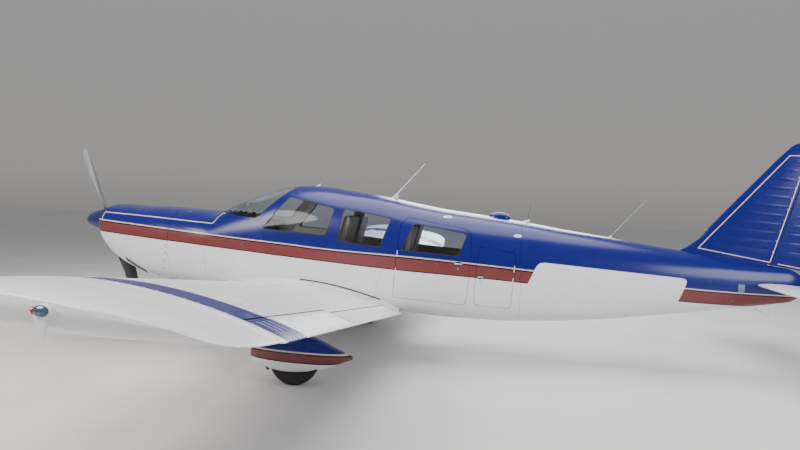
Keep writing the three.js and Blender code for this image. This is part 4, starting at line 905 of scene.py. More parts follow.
def cowlSkin():
    front, rear = at(body["cowlFront"]), at(body["firewall"]) - body["seam"]
    skin = shell("cowlSkin", front, rear, body["cowlWall"], 0.018, 0.02, finishes["black"])
    inlets = [loft("inlet", [inletRing(side, at(-2)), inletRing(side, at(6))], finishes["black"])
              for side in (-1, 1)]
    shaft = lathe("shaft", [(0.092, -0.1), (0.092, 0.2)], (front, 0, 1.352), (1, 0, 0), finishes["black"])
    slot = block("slot", (at(cowl["slot"][0]), -cowl["slot"][2], 0.7),
                 (at(cowl["slot"][1]), cowl["slot"][2], 1.09), finishes["black"])
    outlet = block("outlet", (at(cowl["outlet"][0]), -cowl["outlet"][2], 0.6),
                   (at(cowl["outlet"][1]), cowl["outlet"][2], 0.9), finishes["black"])
    return carve(skin, *inlets, shaft, slot, outlet)


def cowlHalf(skin, name, top):
    edge = body["seam"] * (0.5 if top else -0.5)
    limit = 1.7 if top else 0.6
    outline = [(at(-3), cowl["splitFront"] + edge), (at(42), cowl["splitRear"] + edge), (at(42), limit),
               (at(-3), limit)]
    return carve(copied(skin, name), prism(outline, -0.7, 0.7, finishes["black"]), operation="INTERSECT")


def lipRing(name, side, whole):  # the rolled edge of an inlet, laid on the cowl's front
    tree = BVHTree.FromObject(whole, bpy.context.evaluated_depsgraph_get())
    path = []
    for spot in inletRing(side, at(-3), 0.004, 48):
        hit = tree.ray_cast(spot, Vector((1, 0, 0)))[0]
        path.append((hit or spot) + Vector((0.003, 0, 0)))
    return tube(name, path + path[:2], 0.0065, finishes["body"], sides=12)


def seamStuds(places):  # stations and heights, used on both sides
    return [(onSkin(at(station), z, side), skinNormal(at(station), z, side), Vector((0, 0, 1)))
            for station, z in places for side in (-1, 1)]


def fuselage():
    whole = hull("wholeSkin", at(body["cowlFront"]), at(body["coneEnd"]), 0)
    seam = body["seam"]
    skin = cowlSkin()
    for name, node, top in (("upperCowl", "cowl_upper", True), ("lowerCowl", "cowl_lower", False)):
        half = cowlHalf(skin, name, top)
        place(matchShading(half, whole), "airframe", "blue_paint" if top else "white_paint", node)
    for side, word in bothSides:
        place(lipRing(word + "InletLip", side, whole), "airframe", "blue_paint")
    discard(skin)

    firewall, noseRear = at(body["firewall"]), at(body["noseRear"]) - seam
    nose = shell("noseSkin", firewall + seam, noseRear, body["noseWall"], 0.018, -0.022, finishes["lining"])
    low, high = hingeEnds(doors["baggage"])
    groove = lathe("groove", [(0.0118, 0), (0.0118, (high - low).length)], low, high - low, finishes["seal"],
                   sides=20)
    carve(nose, doorPrism(doors["baggage"], doorFit["jamb"], finishes["seal"]), groove)
    place(matchShading(nose, whole), "airframe", "white_paint", "nose_section")

    cabin = shell("cabinSkin", at(body["noseRear"]), at(body["cabinRear"]), body["cabinWall"], -0.02, 0.02,
                  finishes["lining"])
    panes = [("cockpit", -1), ("middle", -1), ("middle", 1), ("rear", 1)]
    cutters = [windshieldPrism(0, finishes["body"])]
    cutters += [pierce(windows[key], side, 0, finishes["black"]) for key, side in panes]
    cutters += [doorPrism(doors[key], doorFit["jamb"], finishes["seal"])
                for key in ("front", "rear", "utility")]
    carve(cabin, *cutters)
    place(matchShading(cabin, whole), "airframe", "white_paint", "cabin_shell")

    leaves = [("front", "frontDoor", "front_door", "front_door", windows["frontDoor"]),
              ("rear", "rearDoor", "rear_door", "rear_door", windows["rear"]),
              ("utility", "utilityDoor", "utility_door", "utility_door", None),
              ("baggage", "noseBaggageDoor", "nose_baggage_door", "nose_baggage_door", None)]
    for key, name, bodyName, node, window in leaves:
        door = doors[key]
        stations = [s for s, _ in door["outline"]]
        wall = body["noseWall"] if key == "baggage" else body["cabinWall"]
        leaf = shell(name + "Leaf", at(min(stations)) - 0.05, at(max(stations)) + 0.05, wall, -0.02, 0.02,
                     finishes["lining"])
        carve(leaf, doorPrism(door, doorFit["panel"], finishes["body"]), operation="INTERSECT")
        if window:
            carve(leaf, pierce(window, door["side"], 0, finishes["black"]))
        place(matchShading(leaf, whole), bodyName, "white_paint", node)

    tail = shell("tailSkin", at(body["cabinRear"]) + seam, at(body["coneEnd"]), body["tailWall"], 0.012,
                 -0.14, finishes["lining"])
    tube0 = stabPlace(stabiliser["hinge"], -0.2, 0), stabPlace(stabiliser["hinge"], 0.2, 0)
    hole = lathe("bearing", [(0.034, 0), (0.034, 0.4)], tube0[0], tube0[1] - tube0[0], finishes["black"])
    hatch = lathe("hatch", [(0.15, 0), (0.15, 0.05)], (at(body["cabinRear"]) - 0.01, 0, 0.98), (1, 0, 0),
                  finishes["lining"])
    carve(tail, hole, hatch)
    place(matchShading(tail, whole), "airframe", "white_paint", "tailcone")

    place(windshieldGlass(), "airframe", "glazing", "windshield")
    place(windshieldFrame(), "airframe", "blue_paint")
    for name, key, side, bodyName, node in (
            ("leftCockpitWindow", "cockpit", -1, "airframe", "left_cockpit_window"),
            ("leftMiddleWindow", "middle", -1, "airframe", "left_middle_window"),
            ("rightMiddleWindow", "middle", 1, "airframe", "right_middle_window"),
            ("rightRearWindow", "rear", 1, "airframe", "right_rear_window"),
            ("frontDoorWindow", "frontDoor", 1, "front_door", "front_door_window"),
            ("rearDoorWindow", "rear", -1, "rear_door", "rear_door_window")):
        windowPieces(name, windows[key], side, bodyName, node)
    discard(whole)
    print("fuselage made")


def windshieldGlass():
    inset = windows["inset"]
    glass = hull("windshieldGlass", at(50), at(100), inset, finishes["glass"])
    whole = hull("glassSkin", at(50), at(100), inset)
    inner = hull("inside", at(50) - 0.01, at(100) + 0.01, inset + windows["glass"], finishes["glass"])
    carve(glass, inner)
    carve(glass, windshieldPrism(-0.001, finishes["glass"]), operation="INTERSECT")
    matchShading(glass, whole)
    discard(whole)
    return glass


def windshieldFrame():  # retaining strip round the glass
    frameSkin = hull("windshieldFrame", at(50), at(100), -0.0015, finishes["body"])
    smoothSkin = copied(frameSkin, "frameSkin")
    carve(frameSkin, hull("inside", at(50) - 0.01, at(100) + 0.01, 0.002, finishes["seal"]))
    carve(frameSkin, windshieldPrism(0.016, finishes["body"]), operation="INTERSECT")
    carve(frameSkin, windshieldPrism(-0.012, finishes["seal"]))
    carve(frameSkin, block("limit", (at(57.6), -1, 0), (at(90.6), 1, 3)), operation="INTERSECT")
    matchShading(frameSkin, smoothSkin)
    discard(smoothSkin)
    return frameSkin


# Airfoils: chord positions and heights, from the tail over the top and back below
def halfDepth(fraction, thickness):
    x = max(0.0, fraction) ** 1.2
    front = 0.2969 * math.sqrt(x) - 0.126 * x
    return 5 * thickness * (front - 0.3516 * x ** 2 + 0.2843 * x ** 3 - 0.1015 * x ** 4)


def camber(fraction, lift):
    if not 0 < fraction < 1:
        return 0.0
    rest = 1 - fraction
    return -lift / (4 * math.pi) * (rest * math.log(rest) + fraction * math.log(fraction))


def airfoil(chord, thickness, lift, count):
    stops = [0.5 - 0.5 * math.cos(math.pi * k / (count - 1)) for k in range(count)]
    above = [(f * chord, (camber(f, lift) + halfDepth(f, thickness)) * chord) for f in reversed(stops)]
    return above + [(f * chord, (camber(f, lift) - halfDepth(f, thickness)) * chord) for f in stops[1:]]


# A movable surface's section: a round nose on the hinge, then the two skins back to the tail
def controlOutline(chord, hinge, thickness, lift, count=14, noseSteps=10):
    f0 = hinge / chord
    middle, radius = camber(f0, lift) * chord, halfDepth(f0, thickness) * chord - 0.001
    stops = [f0 + (1 - f0) * (1 - math.cos(math.pi / 2 * k / count)) for k in range(1, count + 1)]
    nose = [(hinge - radius * math.sin(math.pi * k / noseSteps),
             middle + radius * math.cos(math.pi * k / noseSteps)) for k in range(noseSteps + 1)]
    above = [(f * chord, (camber(f, lift) + halfDepth(f, thickness)) * chord) for f in reversed(stops)]
    below = [(f * chord, (camber(f, lift) - halfDepth(f, thickness)) * chord) for f in stops]
    return above + nose + below


wing = {"chord": 1.6, "rootY": 0.622, "tailStation": 141.4, "tailZ": 0.525, "dihedral": math.radians(6.92),
        "incidence": math.radians(5.6), "thickness": 0.15, "lift": 0.4, "glove": 0.38, "gloveSpan": 0.64,
        "tipFrom": 3.668, "tipTo": 4.414, "gap": 0.0045}
flap = {"from": 0.056, "to": 2.152, "hinge": 1.41, "pinTo": 0.0493}
aileron = {"from": 2.16, "to": 3.66, "hinge": 1.362, "pinTo": 3.6677, "ribs": 0.070, "ribHeight": 0.005,
           "ribWidth": 0.015}
# share of the tip's length, nose set back, tail moved aft, thickness scale, height it shrinks towards
tipSections = [
    (0.105, 0.001, -0.018, 0.995, 0.030), (0.3, 0.008, -0.020, 0.97, 0.060),
    (0.55, 0.040, -0.028, 0.90, 0.076), (0.75, 0.095, -0.050, 0.80, 0.084),
    (0.88, 0.157, -0.092, 0.66, 0.086), (0.96, 0.218, -0.155, 0.47, 0.086), (1.0, 0.292, -0.245, 0.24, 0.086),
]


def wingPlace(side, c, s, h):
    ahead = wing["chord"] - c
    n = ahead * math.sin(wing["incidence"]) + h * math.cos(wing["incidence"])
    x = at(wing["tailStation"]) - ahead * math.cos(wing["incidence"]) + h * math.sin(wing["incidence"])
    y = wing["rootY"] + s * math.cos(wing["dihedral"]) - n * math.sin(wing["dihedral"])
    z = wing["tailZ"] + s * math.sin(wing["dihedral"]) + n * math.cos(wing["dihedral"])
    return Vector((x, side * y, z))


def gloved(c, s):  # the root's leading edge sweeps forward
    extension = wing["glove"] * max(0.0, 1 - s / wing["gloveSpan"])
    reach = 0.4 * wing["chord"]
    return c - extension * (1 - c / reach) if c < reach else c


def wingSurface(side, c, s, above=True):  # a point on the wing's skin and the direction it faces
    def spot(chordwise, spanwise):
        f = chordwise / wing["chord"]
        depth = halfDepth(f, wing["thickness"]) * (1 if above else -1)
        return wingPlace(side, gloved(chordwise, spanwise), spanwise,
                         (camber(f, wing["lift"]) + depth) * wing["chord"])
    step = 0.004
    chordwise = spot(c + step, s) - spot(c - step, s)
    spanwise = spot(c, s + step) - spot(c, s - step)
    normal = chordwise.cross(spanwise).normalized()
    if (normal.z > 0) != above:
        normal = -normal
    return spot(c, s), normal, chordwise.normalized()


def wingRing(side, s, outline):
    return [wingPlace(side, gloved(c, s), s, h) for c, h in outline]


def wingBlock(side, c0, c1, s0, s1, *materials):
    corners = [(c0, -0.2), (c1, -0.2), (c1, 0.2), (c0, 0.2)]
    return loft("block", [[wingPlace(side, c, s, h) for c, h in corners] for s in (s0, s1)], *materials)


def hingeMiddle(control):
    return camber(control["hinge"] / wing["chord"], wing["lift"]) * wing["chord"]


def cove(side, control, s0, s1):
    hinge, middle = control["hinge"], hingeMiddle(control)
    radius = halfDepth(hinge / wing["chord"], wing["thickness"]) * wing["chord"] - 0.001 + wing["gap"]
    ends = wingPlace(side, hinge, s0, middle), wingPlace(side, hinge, s1, middle)
    bar = lathe("bar", [(radius, 0), (radius, (ends[1] - ends[0]).length)], ends[0], ends[1] - ends[0],
                finishes["black"])
    return [wingBlock(side, hinge - 0.010, wing["chord"] + 0.06, s0, s1, finishes["black"]), bar]


def wings():
    outline = airfoil(wing["chord"], wing["thickness"], wing["lift"], 64)
    gloveStops = [-0.05] + [wing["gloveSpan"] * k / 10 for k in range(11)]
    span = wing["tipFrom"] - 0.001 - wing["gloveSpan"]
    stops = gloveStops + [wing["gloveSpan"] + span * k / 24 for k in range(1, 25)]
    for side, word in bothSides:
        whole = loft("wholeWing", [wingRing(side, s, outline) for s in stops])
        skin = loft(word + "WingSkin", [wingRing(side, s, outline) for s in stops], finishes["wing"])
        gap = wing["gap"]
        carve(skin, *cove(side, flap, flap["from"] - gap, aileron["from"] - 0.002),
              *cove(side, aileron, aileron["from"] - gap - 0.002, wing["tipFrom"] + 0.02))
        place(matchShading(skin, whole), "airframe", "white_paint", word + "_wing")
        discard(whole)
        place(controlSurface(side, flap, word + "Flap", 0), word + "_flap", "white_paint", word + "_flap")
        place(controlSurface(side, aileron, word + "Aileron", 1), word + "_aileron", "white_paint",
              word + "_aileron")
        place(wingTip(side, word + "WingTip"), "airframe", "white_plastic", word + "_wing_tip")
        place(rootFairing(side, word + "RootFairing"), "airframe", "white_paint")
        place(rootSeal(side, word + "RootSeal"), "airframe", "panel_plastic")
    print("wings made")


def ribHeight(s, control):  # pressed beads across the span
    start, end, pitch = control["from"] + 0.05, control["to"] - 0.05, control["ribs"]
    if not start < s < end:
        return 0.0
    off = abs((s - start) % pitch - pitch / 2) / control["ribWidth"]
    return control["ribHeight"] * math.cos(math.pi / 2 * off) ** 2 if off < 1 else 0.0


def controlSurface(side, control, name, ribbed):
    outline = controlOutline(wing["chord"], control["hinge"], wing["thickness"], wing["lift"])
    middle = hingeMiddle(control)
    start, end = control["from"], control["to"]
    step = control["ribWidth"] / 3 if ribbed else 0.06
    pieces = round((end - start) / step)
    rings = []
    for k in range(pieces + 1):
        s = start + (end - start) * k / pieces
        rise = ribHeight(s, control) if ribbed else 0.0
        ring = []
        for c, h in outline:
            share = (c - control["hinge"]) / (wing["chord"] - control["hinge"])
            taper = min(1, max(0, share - 0.06) * 9) * min(1, max(0, 0.93 - share) * 9)
            lift = rise * taper * (1 if h > camber(c / wing["chord"], wing["lift"]) * wing["chord"] else -1)
            ring.append(wingPlace(side, c, s, h + lift))
        rings.append(ring)
    blade = loft(name, rings, finishes["wing"], finishes["seal"])
    for face in blade.data.polygons[-2:]:
        face.material_index = 1
    smooth(blade, 35)
    ends = wingPlace(side, control["hinge"], start + 0.01, middle), wingPlace(side, control["hinge"],
                                                                              control["pinTo"], middle)
    if control is flap:
        ends = ends[0] + (ends[0] - ends[1]) * 0.2, ends[1]
    pin = lathe("pin", [(0.0068, 0), (0.0068, (ends[1] - ends[0]).length)], ends[0], ends[1] - ends[0],
                finishes["steel"], sides=16)
    return joined(name, blade, pin)


tip = {"shrink": 0.021, "puff": 0.006}


def wingTip(side, name):
    outline = airfoil(wing["chord"], wing["thickness"], wing["lift"], 48)
    length = wing["tipTo"] - tip["shrink"] - wing["tipFrom"]
    stops = [0.0, 0.045, 0.09, 0.105, 0.15, 0.2, 0.25, 0.3, 0.36, 0.42, 0.48, 0.55, 0.61, 0.67, 0.72, 0.77,
             0.81, 0.85, 0.88, 0.905, 0.925, 0.945, 0.96, 0.972, 0.982, 0.991, 1.0]
    rings = []
    for share in stops:
        back, aft, scale, anchor = curveThrough(tipSections, share) if share > 0.1 else (0, 0, 1, 0.03)
        stretch = (wing["chord"] - back + aft) / wing["chord"]
        s = wing["tipFrom"] + 0.001 + share * length
        rings.append([wingPlace(side, back + c * stretch, s, anchor + (h - anchor) * scale)
                      for c, h in outline])
    last = rings[-1]
    middle = sum(last, Vector()) / len(last)
    for inward in (0.7, 0.35, 0.06):
        rings.append([middle + (p - middle) * inward + Vector((0, side * tip["puff"] * (1 - inward ** 2), 0))
                      for p in last])
    return smooth(loft(name, rings, finishes["white"]), 60)


def rootLine(side, stops, above=True):  # where the wing's skin meets the body's side
    line = []
    for c in stops:
        low, high = -0.05, 0.25
        for _ in range(30):
            s = (low + high) / 2
            spot = wingSurface(side, c, s, above)[0]
            if abs(spot.y) > skinSide(spot.x, spot.z):
                high = s
            else:
                low = s
        line.append((c, high))
    return line


fairing = {"radius": 0.042, "steps": 8, "bow": 0.72}


def rootFairing(side, name):  # a hollow fillet along the wing's upper root
    stops = [0.03 + 1.53 * k / 44 for k in range(45)]
    rings = []
    for c, s in rootLine(side, stops):
        f = c / wing["chord"]
        radius = fairing["radius"] * min(1.0, 0.35 + f * 3, 0.25 + (1 - f) * 5)
        foot = wingSurface(side, c, s + radius)[0]
        base = wingSurface(side, c, s)[0]
        head = onSkin(base.x, base.z + radius, side)
        middle = base.lerp((foot + head) / 2, 1 - fairing["bow"])
        ring = []
        for k in range(fairing["steps"] + 1):
            t = k / fairing["steps"]
            ring.append(foot * (1 - t) ** 2 + middle * 2 * t * (1 - t) + head * t ** 2)
        inner = [base + (p - base) * 0.2 + Vector((0, -side * 0.012, -0.006)) for p in reversed(ring)]
        out = Vector((0, side, 0.6)).normalized() * 0.0018
        rings.append([p + out for p in ring] + inner)
    return smooth(loft(name, rings, finishes["white"]), 40)


def rootSeal(side, name):  # dark rubber along the rear half of the root
    stops = [0.55 + 0.81 * k / 24 for k in range(25)]
    path = []
    for c, s in rootLine(side, stops):
        f = c / wing["chord"]
        radius = fairing["radius"] * min(1.0, 0.35 + f * 3, 0.25 + (1 - f) * 5)
        base = wingSurface(side, c, s)[0]
        path.append(onSkin(base.x, base.z + radius + 0.002, side, -0.0012))
    return tube(name, path, 0.0068, finishes["seal"], sides=8)


# Tail: places are heights, or chord positions and distances across
stabiliser = {"chord": 0.8, "halfSpan": 1.96, "station": 281.5, "z": 0.938, "hinge": 0.204,
              "thickness": 0.085, "tube": 0.028, "tubeHalf": 0.23, "gap": 0.0035}
notch = {"front": (279, 0.178), "rear": (303.2, 0.080)}
tab = {"hinge": 0.688, "halfSpan": 1.08}
fin = {"foot": (288.7, 1.120), "top": (302.8, 2.393), "rudderFoot": (1.1706, 0.9577), "footRadius": 0.035,
       "topRadius": 0.026, "gap": 0.0068, "ribs": 0.088, "ribHeight": 0.0019, "ribWidth": 0.017,
       "ribsFrom": 1.20, "ribsTo": 2.22}
finSections = [  # height, then leading station, trailing station and half thickness in millimetres
    (1.000, 249.0, 306.6, 46), (1.235, 251.5, 308.8, 44), (1.300, 256.0, 309.4, 43),
    (1.383, 260.3, 310.2, 42), (1.527, 265.0, 311.5, 41), (2.062, 283.5, 316.6, 32),
    (2.310, 292.4, 318.6, 27), (2.358, 294.4, 318.6, 24), (2.382, 296.1, 317.7, 17), (2.393, 298.2, 316.0, 9),
]


def stabPlace(c, y, h):
    return Vector((at(stabiliser["station"]) + c * math.cos(attitude) + h * math.sin(attitude), y,
                   stabiliser["z"] - c * math.sin(attitude) + h * math.cos(attitude)))


def stabRings(outline):
    half, chord = stabiliser["halfSpan"], stabiliser["chord"]
    ends = [(half, 96, 0.10), (half - 0.003, 78, 0.34), (half - 0.012, 50, 0.62), (half - 0.026, 30, 0.8),
            (half - 0.045, 18, 0.88), (half - 0.075, 6, 0.96), (half - 0.11, 0, 1)]
    plain = [(half - 0.11) * k / 14 for k in range(-13, 14)]
    rows = [(-y, back, scale) for y, back, scale in ends] + [(y, 0, 1) for y in plain]
    rows += [(y, back, scale) for y, back, scale in reversed(ends)]
    return [[stabPlace(back / 1000 + c * (1 - back / 1000 / chord), y, h * scale) for c, h in outline]
            for y, back, scale in rows]


def stabBlock(c0, c1, y0, y1, *materials):
    corners = [(c0, -0.09), (c1, -0.09), (c1, 0.09), (c0, 0.09)]
    return loft("block", [[stabPlace(c, y, h) for c, h in corners] for y in (y0, y1)], *materials)


def stabilator():
    chord, thickness = stabiliser["chord"], stabiliser["thickness"]
    outline = airfoil(chord, thickness, 0, 48)
    whole = loft("wholeStab", stabRings(outline))
    skin = loft("stabilatorSkin", stabRings(outline), finishes["white"])
    corners = [Vector((at(notch[end][0]), sign * notch[end][1], 0))
               for end, sign in (("front", 1), ("rear", 1), ("rear", -1), ("front", -1))]
    cut = loft("notch", [[p + Vector((0, 0, z)) for p in corners] for z in (0.7, 1.15)], finishes["black"])
    reach = tab["halfSpan"] + stabiliser["gap"]
    radius = halfDepth(tab["hinge"] / chord, thickness) * chord - 0.0005
    hinge = stabPlace(tab["hinge"], -reach, 0), stabPlace(tab["hinge"], reach, 0)
    bar = lathe("bar", [(radius + stabiliser["gap"], 0), (radius + stabiliser["gap"], 2 * reach)], hinge[0],
                (0, 1, 0), finishes["black"])
    carve(skin, cut, stabBlock(tab["hinge"], chord + 0.05, -reach, reach, finishes["black"]), bar)
    matchShading(skin, whole)
    half = stabiliser["tubeHalf"]
    torque = lathe("torqueTube", [(stabiliser["tube"], 0), (stabiliser["tube"], 2 * half)],
                   stabPlace(stabiliser["hinge"], -half, 0), (0, 1, 0), finishes["steel"])
    place(skin, "stabilator", "white_paint", "stabilator")
    place(torque, "stabilator", "gear_metal")
    discard(whole)
    edge = controlOutline(chord, tab["hinge"], thickness, 0)
    rings = [[stabPlace(c, tab["halfSpan"] * k / 20, h) for c, h in edge] for k in range(-20, 21)]
    flapper = smooth(loft("stabilatorTab", rings, finishes["white"]), 35)
    pin = lathe("pin", [(0.005, 0), (0.005, 2 * reach)], hinge[0], (0, 1, 0), finishes["steel"], sides=12)
    place(joined("stabilatorTab", flapper, pin), "stabilator_tab", "white_paint", "stabilator_tab")


def hingeX(z):
    (footStation, footZ), (topStation, topZ) = fin["foot"], fin["top"]
    return at(footStation) + (at(topStation) - at(footStation)) * (z - footZ) / (topZ - footZ)


def finRibs(x, z, leading, trailing):
    if not fin["ribsFrom"] < z < fin["ribsTo"]:
        return 0.0
    hinge = hingeX(z)
    off = abs((z - fin["ribsFrom"] + 0.07 * (x - leading)) % fin["ribs"] - fin["ribs"] / 2) / fin["ribWidth"]
    if off > 1:
        return 0.0
    fore = min(1, max(0, x - leading - 0.16) * 12) * min(1, max(0, hinge - 0.075 - x) * 30)
    aft = min(1, max(0, x - hinge - 0.06) * 30) * min(1, max(0, trailing - 0.05 - x) * 30)
    return fin["ribHeight"] * math.cos(math.pi / 2 * off) ** 2 * max(fore, aft)


def finBlade(name, *materials):
    outline = airfoil(1, 0.5, 0, 56)
    stops = [1.0 + 1.32 * k / 220 for k in range(220)] + [2.32, 2.345, 2.365, 2.378, 2.384, 2.389, 2.393]
    rings = []
    for z in stops:
        leading, trailing, half = curveThrough(finSections, z)
        lead, chord = at(leading), (trailing - leading) * inch
        ring = []
        for c, h in outline:
            x = lead + c * chord
            y = h / 0.25 * half / 1000
            rise = finRibs(x, z, lead, lead + chord)
            ring.append(Vector((x, y + (rise if y > 0 else -rise if y < 0 else 0), z)))
        rings.append(ring)
    return loft(name, rings, *materials)


def finSide(x, z):
    leading, trailing, half = curveThrough(finSections, z)
    share = (x - at(leading)) / ((trailing - leading) * inch)
    return halfDepth(share, 0.5) / 0.25 * half / 1000


def hingePost(extra, *materials):
    foot, top = (Vector((at(station), 0, z)) for station, z in (fin["foot"], fin["top"]))
    along = (top - foot).normalized()
    start, end = foot - along * 0.12, top + along * 0.06
    profile = [(fin["footRadius"] + extra, 0), (fin["topRadius"] + extra, (end - start).length)]
    return lathe("post", profile, start, along, *materials)


def finAndRudder():
    whole = finBlade("wholeFin")
    behind = [(hingeX(0.9), 0.9), (at(330), 0.9), (at(330), 2.5), (hingeX(2.5), 2.5)]
    skin = finBlade("finSkin", finishes["fin"])
    carve(skin, prism(behind, -0.12, 0.12, finishes["black"]), hingePost(fin["gap"], finishes["black"]),
          block("low", (at(240), -0.1, 0.9), (at(320), 0.1, 1.07)),
          block("low", (at(286.5), -0.1, 0.9), (at(300), 0.1, 1.146)))
    place(matchShading(skin, whole), "airframe", "blue_paint", "fin")
    rudder = finBlade("rudderSkin", finishes["fin"])
    carve(rudder, prism(behind, -0.12, 0.12, finishes["fin"]), operation="INTERSECT")
    nose = carve(hingePost(0, finishes["fin"]), block("limit", (at(280), -0.1, 1.0), (at(330), 0.1, 2.388)),
                 operation="INTERSECT")
    carve(rudder, nose, operation="UNION")
    below = [(at(280), 0.85), (at(330), 0.85), (at(330), fin["rudderFoot"][1]),
             (at(280), fin["rudderFoot"][0])]
    carve(rudder, prism(below, -0.12, 0.12, finishes["black"]))
    pin = lathe("rudderPin", [(0.010, 0), (0.010, 0.130)], (hingeX(1.06), 0, 1.06),
                (hingeX(1.2) - hingeX(1.06), 0, 0.14), finishes["steel"], sides=20)
    matchShading(rudder, whole)
    place(rudder, "rudder", "blue_paint", "rudder")
    place(pin, "rudder", "gear_metal")
    discard(whole)


# Wheels and undercarriage
axleZ = 0.2225
mainPlace = Vector((at(109.7), 1.6105, 0))
nosePlace = Vector((at(16), 0, 0))
tyreSection = [  # radius and distance from the middle: bead, sidewall, then ribs and grooves to the middle
    (0.0839, 0.046), (0.0880, 0.0500), (0.0935, 0.0545), (0.1000, 0.0600), (0.1150, 0.0690), (0.1350, 0.0765),
    (0.1560, 0.0798), (0.1600, 0.0792), (0.1625, 0.0800), (0.1655, 0.0794), (0.1790, 0.0772),
    (0.1930, 0.0712), (0.2040, 0.0630), (0.2110, 0.0545), (0.2155, 0.0468), (0.2178, 0.0420),
    (0.2130, 0.0412), (0.2130, 0.0375), (0.2193, 0.0368), (0.2208, 0.0240), (0.2150, 0.0232),
    (0.2150, 0.0192), (0.2216, 0.0184), (0.2225, 0.0060), (0.2160, 0.0054), (0.2160, 0.0000),
]
hubSection = [  # radius and distance from the middle
    (0.0208, 0.0500), (0.0290, 0.0540), (0.0360, 0.0540), (0.0385, 0.0500), (0.0400, 0.0380),
    (0.0430, 0.0350), (0.0640, 0.0330), (0.0700, 0.0350), (0.0760, 0.0440), (0.0820, 0.0560),
    (0.0860, 0.0605), (0.0895, 0.0618), (0.0915, 0.0600), (0.0915, 0.0570), (0.0840, 0.0535),
    (0.0830, 0.0480), (0.0830, 0.0000),
]
pant = {"ahead": (109.7 - 93.6) * inch, "behind": (130.6 - 109.7) * inch, "top": 0.486, "half": 0.136,
        "noseZ": 0.262, "tailZ": 0.272, "bottom": 0.104, "middle": 0.290, "square": 0.8, "wellRadius": 0.238,
        "wellHalf": 0.094}
pantFullness = [  # share of the length, then the shares of the full width, height above and depth below
    (0, 0.08, 0.08, 0.1), (0.05, 0.42, 0.42, 0.48), (0.16, 0.74, 0.76, 0.85), (0.32, 0.95, 0.97, 1),
    (0.48, 1, 0.95, 1), (0.64, 0.92, 0.7, 0.88), (0.8, 0.68, 0.38, 0.56), (0.92, 0.36, 0.17, 0.26),
    (1, 0.08, 0.05, 0.08),
]
nosePant = {"ahead": 0.430, "behind": 0.560, "top": 0.548, "half": 0.142, "noseZ": 0.262, "tailZ": 0.330,
            "wellRadius": 0.240, "wellHalf": 0.1046, "legHole": 0.058}
noseTop = Vector((at(6), 0, 1.010))
noseAxle = nosePlace + Vector((0, 0, axleZ))
steerLine = (noseAxle - noseTop).normalized()


def onSteer(z):
    return noseTop + steerLine * ((z - noseTop.z) / steerLine.z)


def mirroredSection(section):
    return section + [(r, -y) for r, y in reversed(section[:-1] if section[-1][1] == 0 else section)]


def wheel(name, wheelPlace, bodyName, tyreNode, hubNode, brakeSide):
    middle = wheelPlace + Vector((0, 0, axleZ))
    tyre = lathe(name + "Tyre", mirroredSection(tyreSection), middle, (0, 1, 0), finishes["rubber"], sides=96,
                 shut=True)
    place(tyre, bodyName, "tyre", tyreNode)
    parts = [lathe("rim", mirroredSection(hubSection), middle, (0, 1, 0), finishes["aluminium"], sides=48,
                   shut=True)]
    for side in (-1, 1):
        for c, s in circle(8):
            spot = Vector((c * 0.056, side * 0.0335, s * 0.056))
            parts.append(lathe("nut", [(0.0065, -0.004), (0.0065, 0.006), (0.004, 0.0072)], middle + spot,
                               (0, side, 0), finishes["steel"], sides=6))
    if brakeSide:
        spot = middle + Vector((0, brakeSide * 0.0530, 0))
        parts.append(lathe("disc", [(0.030, 0), (0.070, 0), (0.070, 0.0055), (0.030, 0.0055)], spot,
                           (0, brakeSide, 0), finishes["steel"], sides=48, shut=True))
    place(joined(name + "Hub", *parts), bodyName, "wheel_metal", hubNode)


def pantRings(wheelPlace, shape, count=48):
    ahead, behind, top, half = shape["ahead"], shape["behind"], shape["top"], shape["half"]
    stops = [k / 40 for k in range(41)]
    stops = sorted(set(stops + [0.006, 0.0125, 0.0375, 0.0625, 0.9875, 0.994]))
    rings = []

    def ringAt(x, share, size, above, below):
        straight = shape["noseZ"] + (shape["tailZ"] - shape["noseZ"]) * share
        middle = straight + (pant["middle"] - straight) * size
        up, down = (top - pant["middle"]) * above, (pant["middle"] - pant["bottom"]) * below
        ring = []
        for c, s in circle(count):
            y = half * size ** pant["square"] * math.copysign(abs(c) ** pant["square"], c)
            z = middle + (up if s > 0 else down) * math.copysign(abs(s) ** pant["square"], s)
            ring.append(wheelPlace + Vector((x, y, z)))
        return ring

    for share in stops:
        shares = curveThrough(pantFullness, share)
        if share < 0.05:
            shares = [low + (high - low) * math.sqrt(share / 0.05)
                      for low, high in zip(pantFullness[0][1:], pantFullness[1][1:])]
        rings.append(ringAt(-ahead + share * (ahead + behind), share, *shares))
    return rings


def pantSkin(name, wheelPlace, shape, finish):
    well, half = shape["wellRadius"], shape["wellHalf"]
    rings = pantRings(wheelPlace, shape)
    whole = loft("wholePant", rings)
    skin = loft(name, rings, finish)
    middle = wheelPlace + Vector((0, 0, axleZ))
    cutters = [lathe("well", [(well, 0), (well, 2 * half)], middle - Vector((0, half, 0)), (0, 1, 0),
                     finishes["black"], sides=64), block("well", wheelPlace + Vector((-well, -half, 0.02)),
                                                         wheelPlace + Vector((well, half, axleZ)),
                                                         finishes["black"])]
    return whole, skin, cutters


def legPoint(side, z):
    return Vector((mainPlace.x, side * (mainPlace.y - 0.178), z))


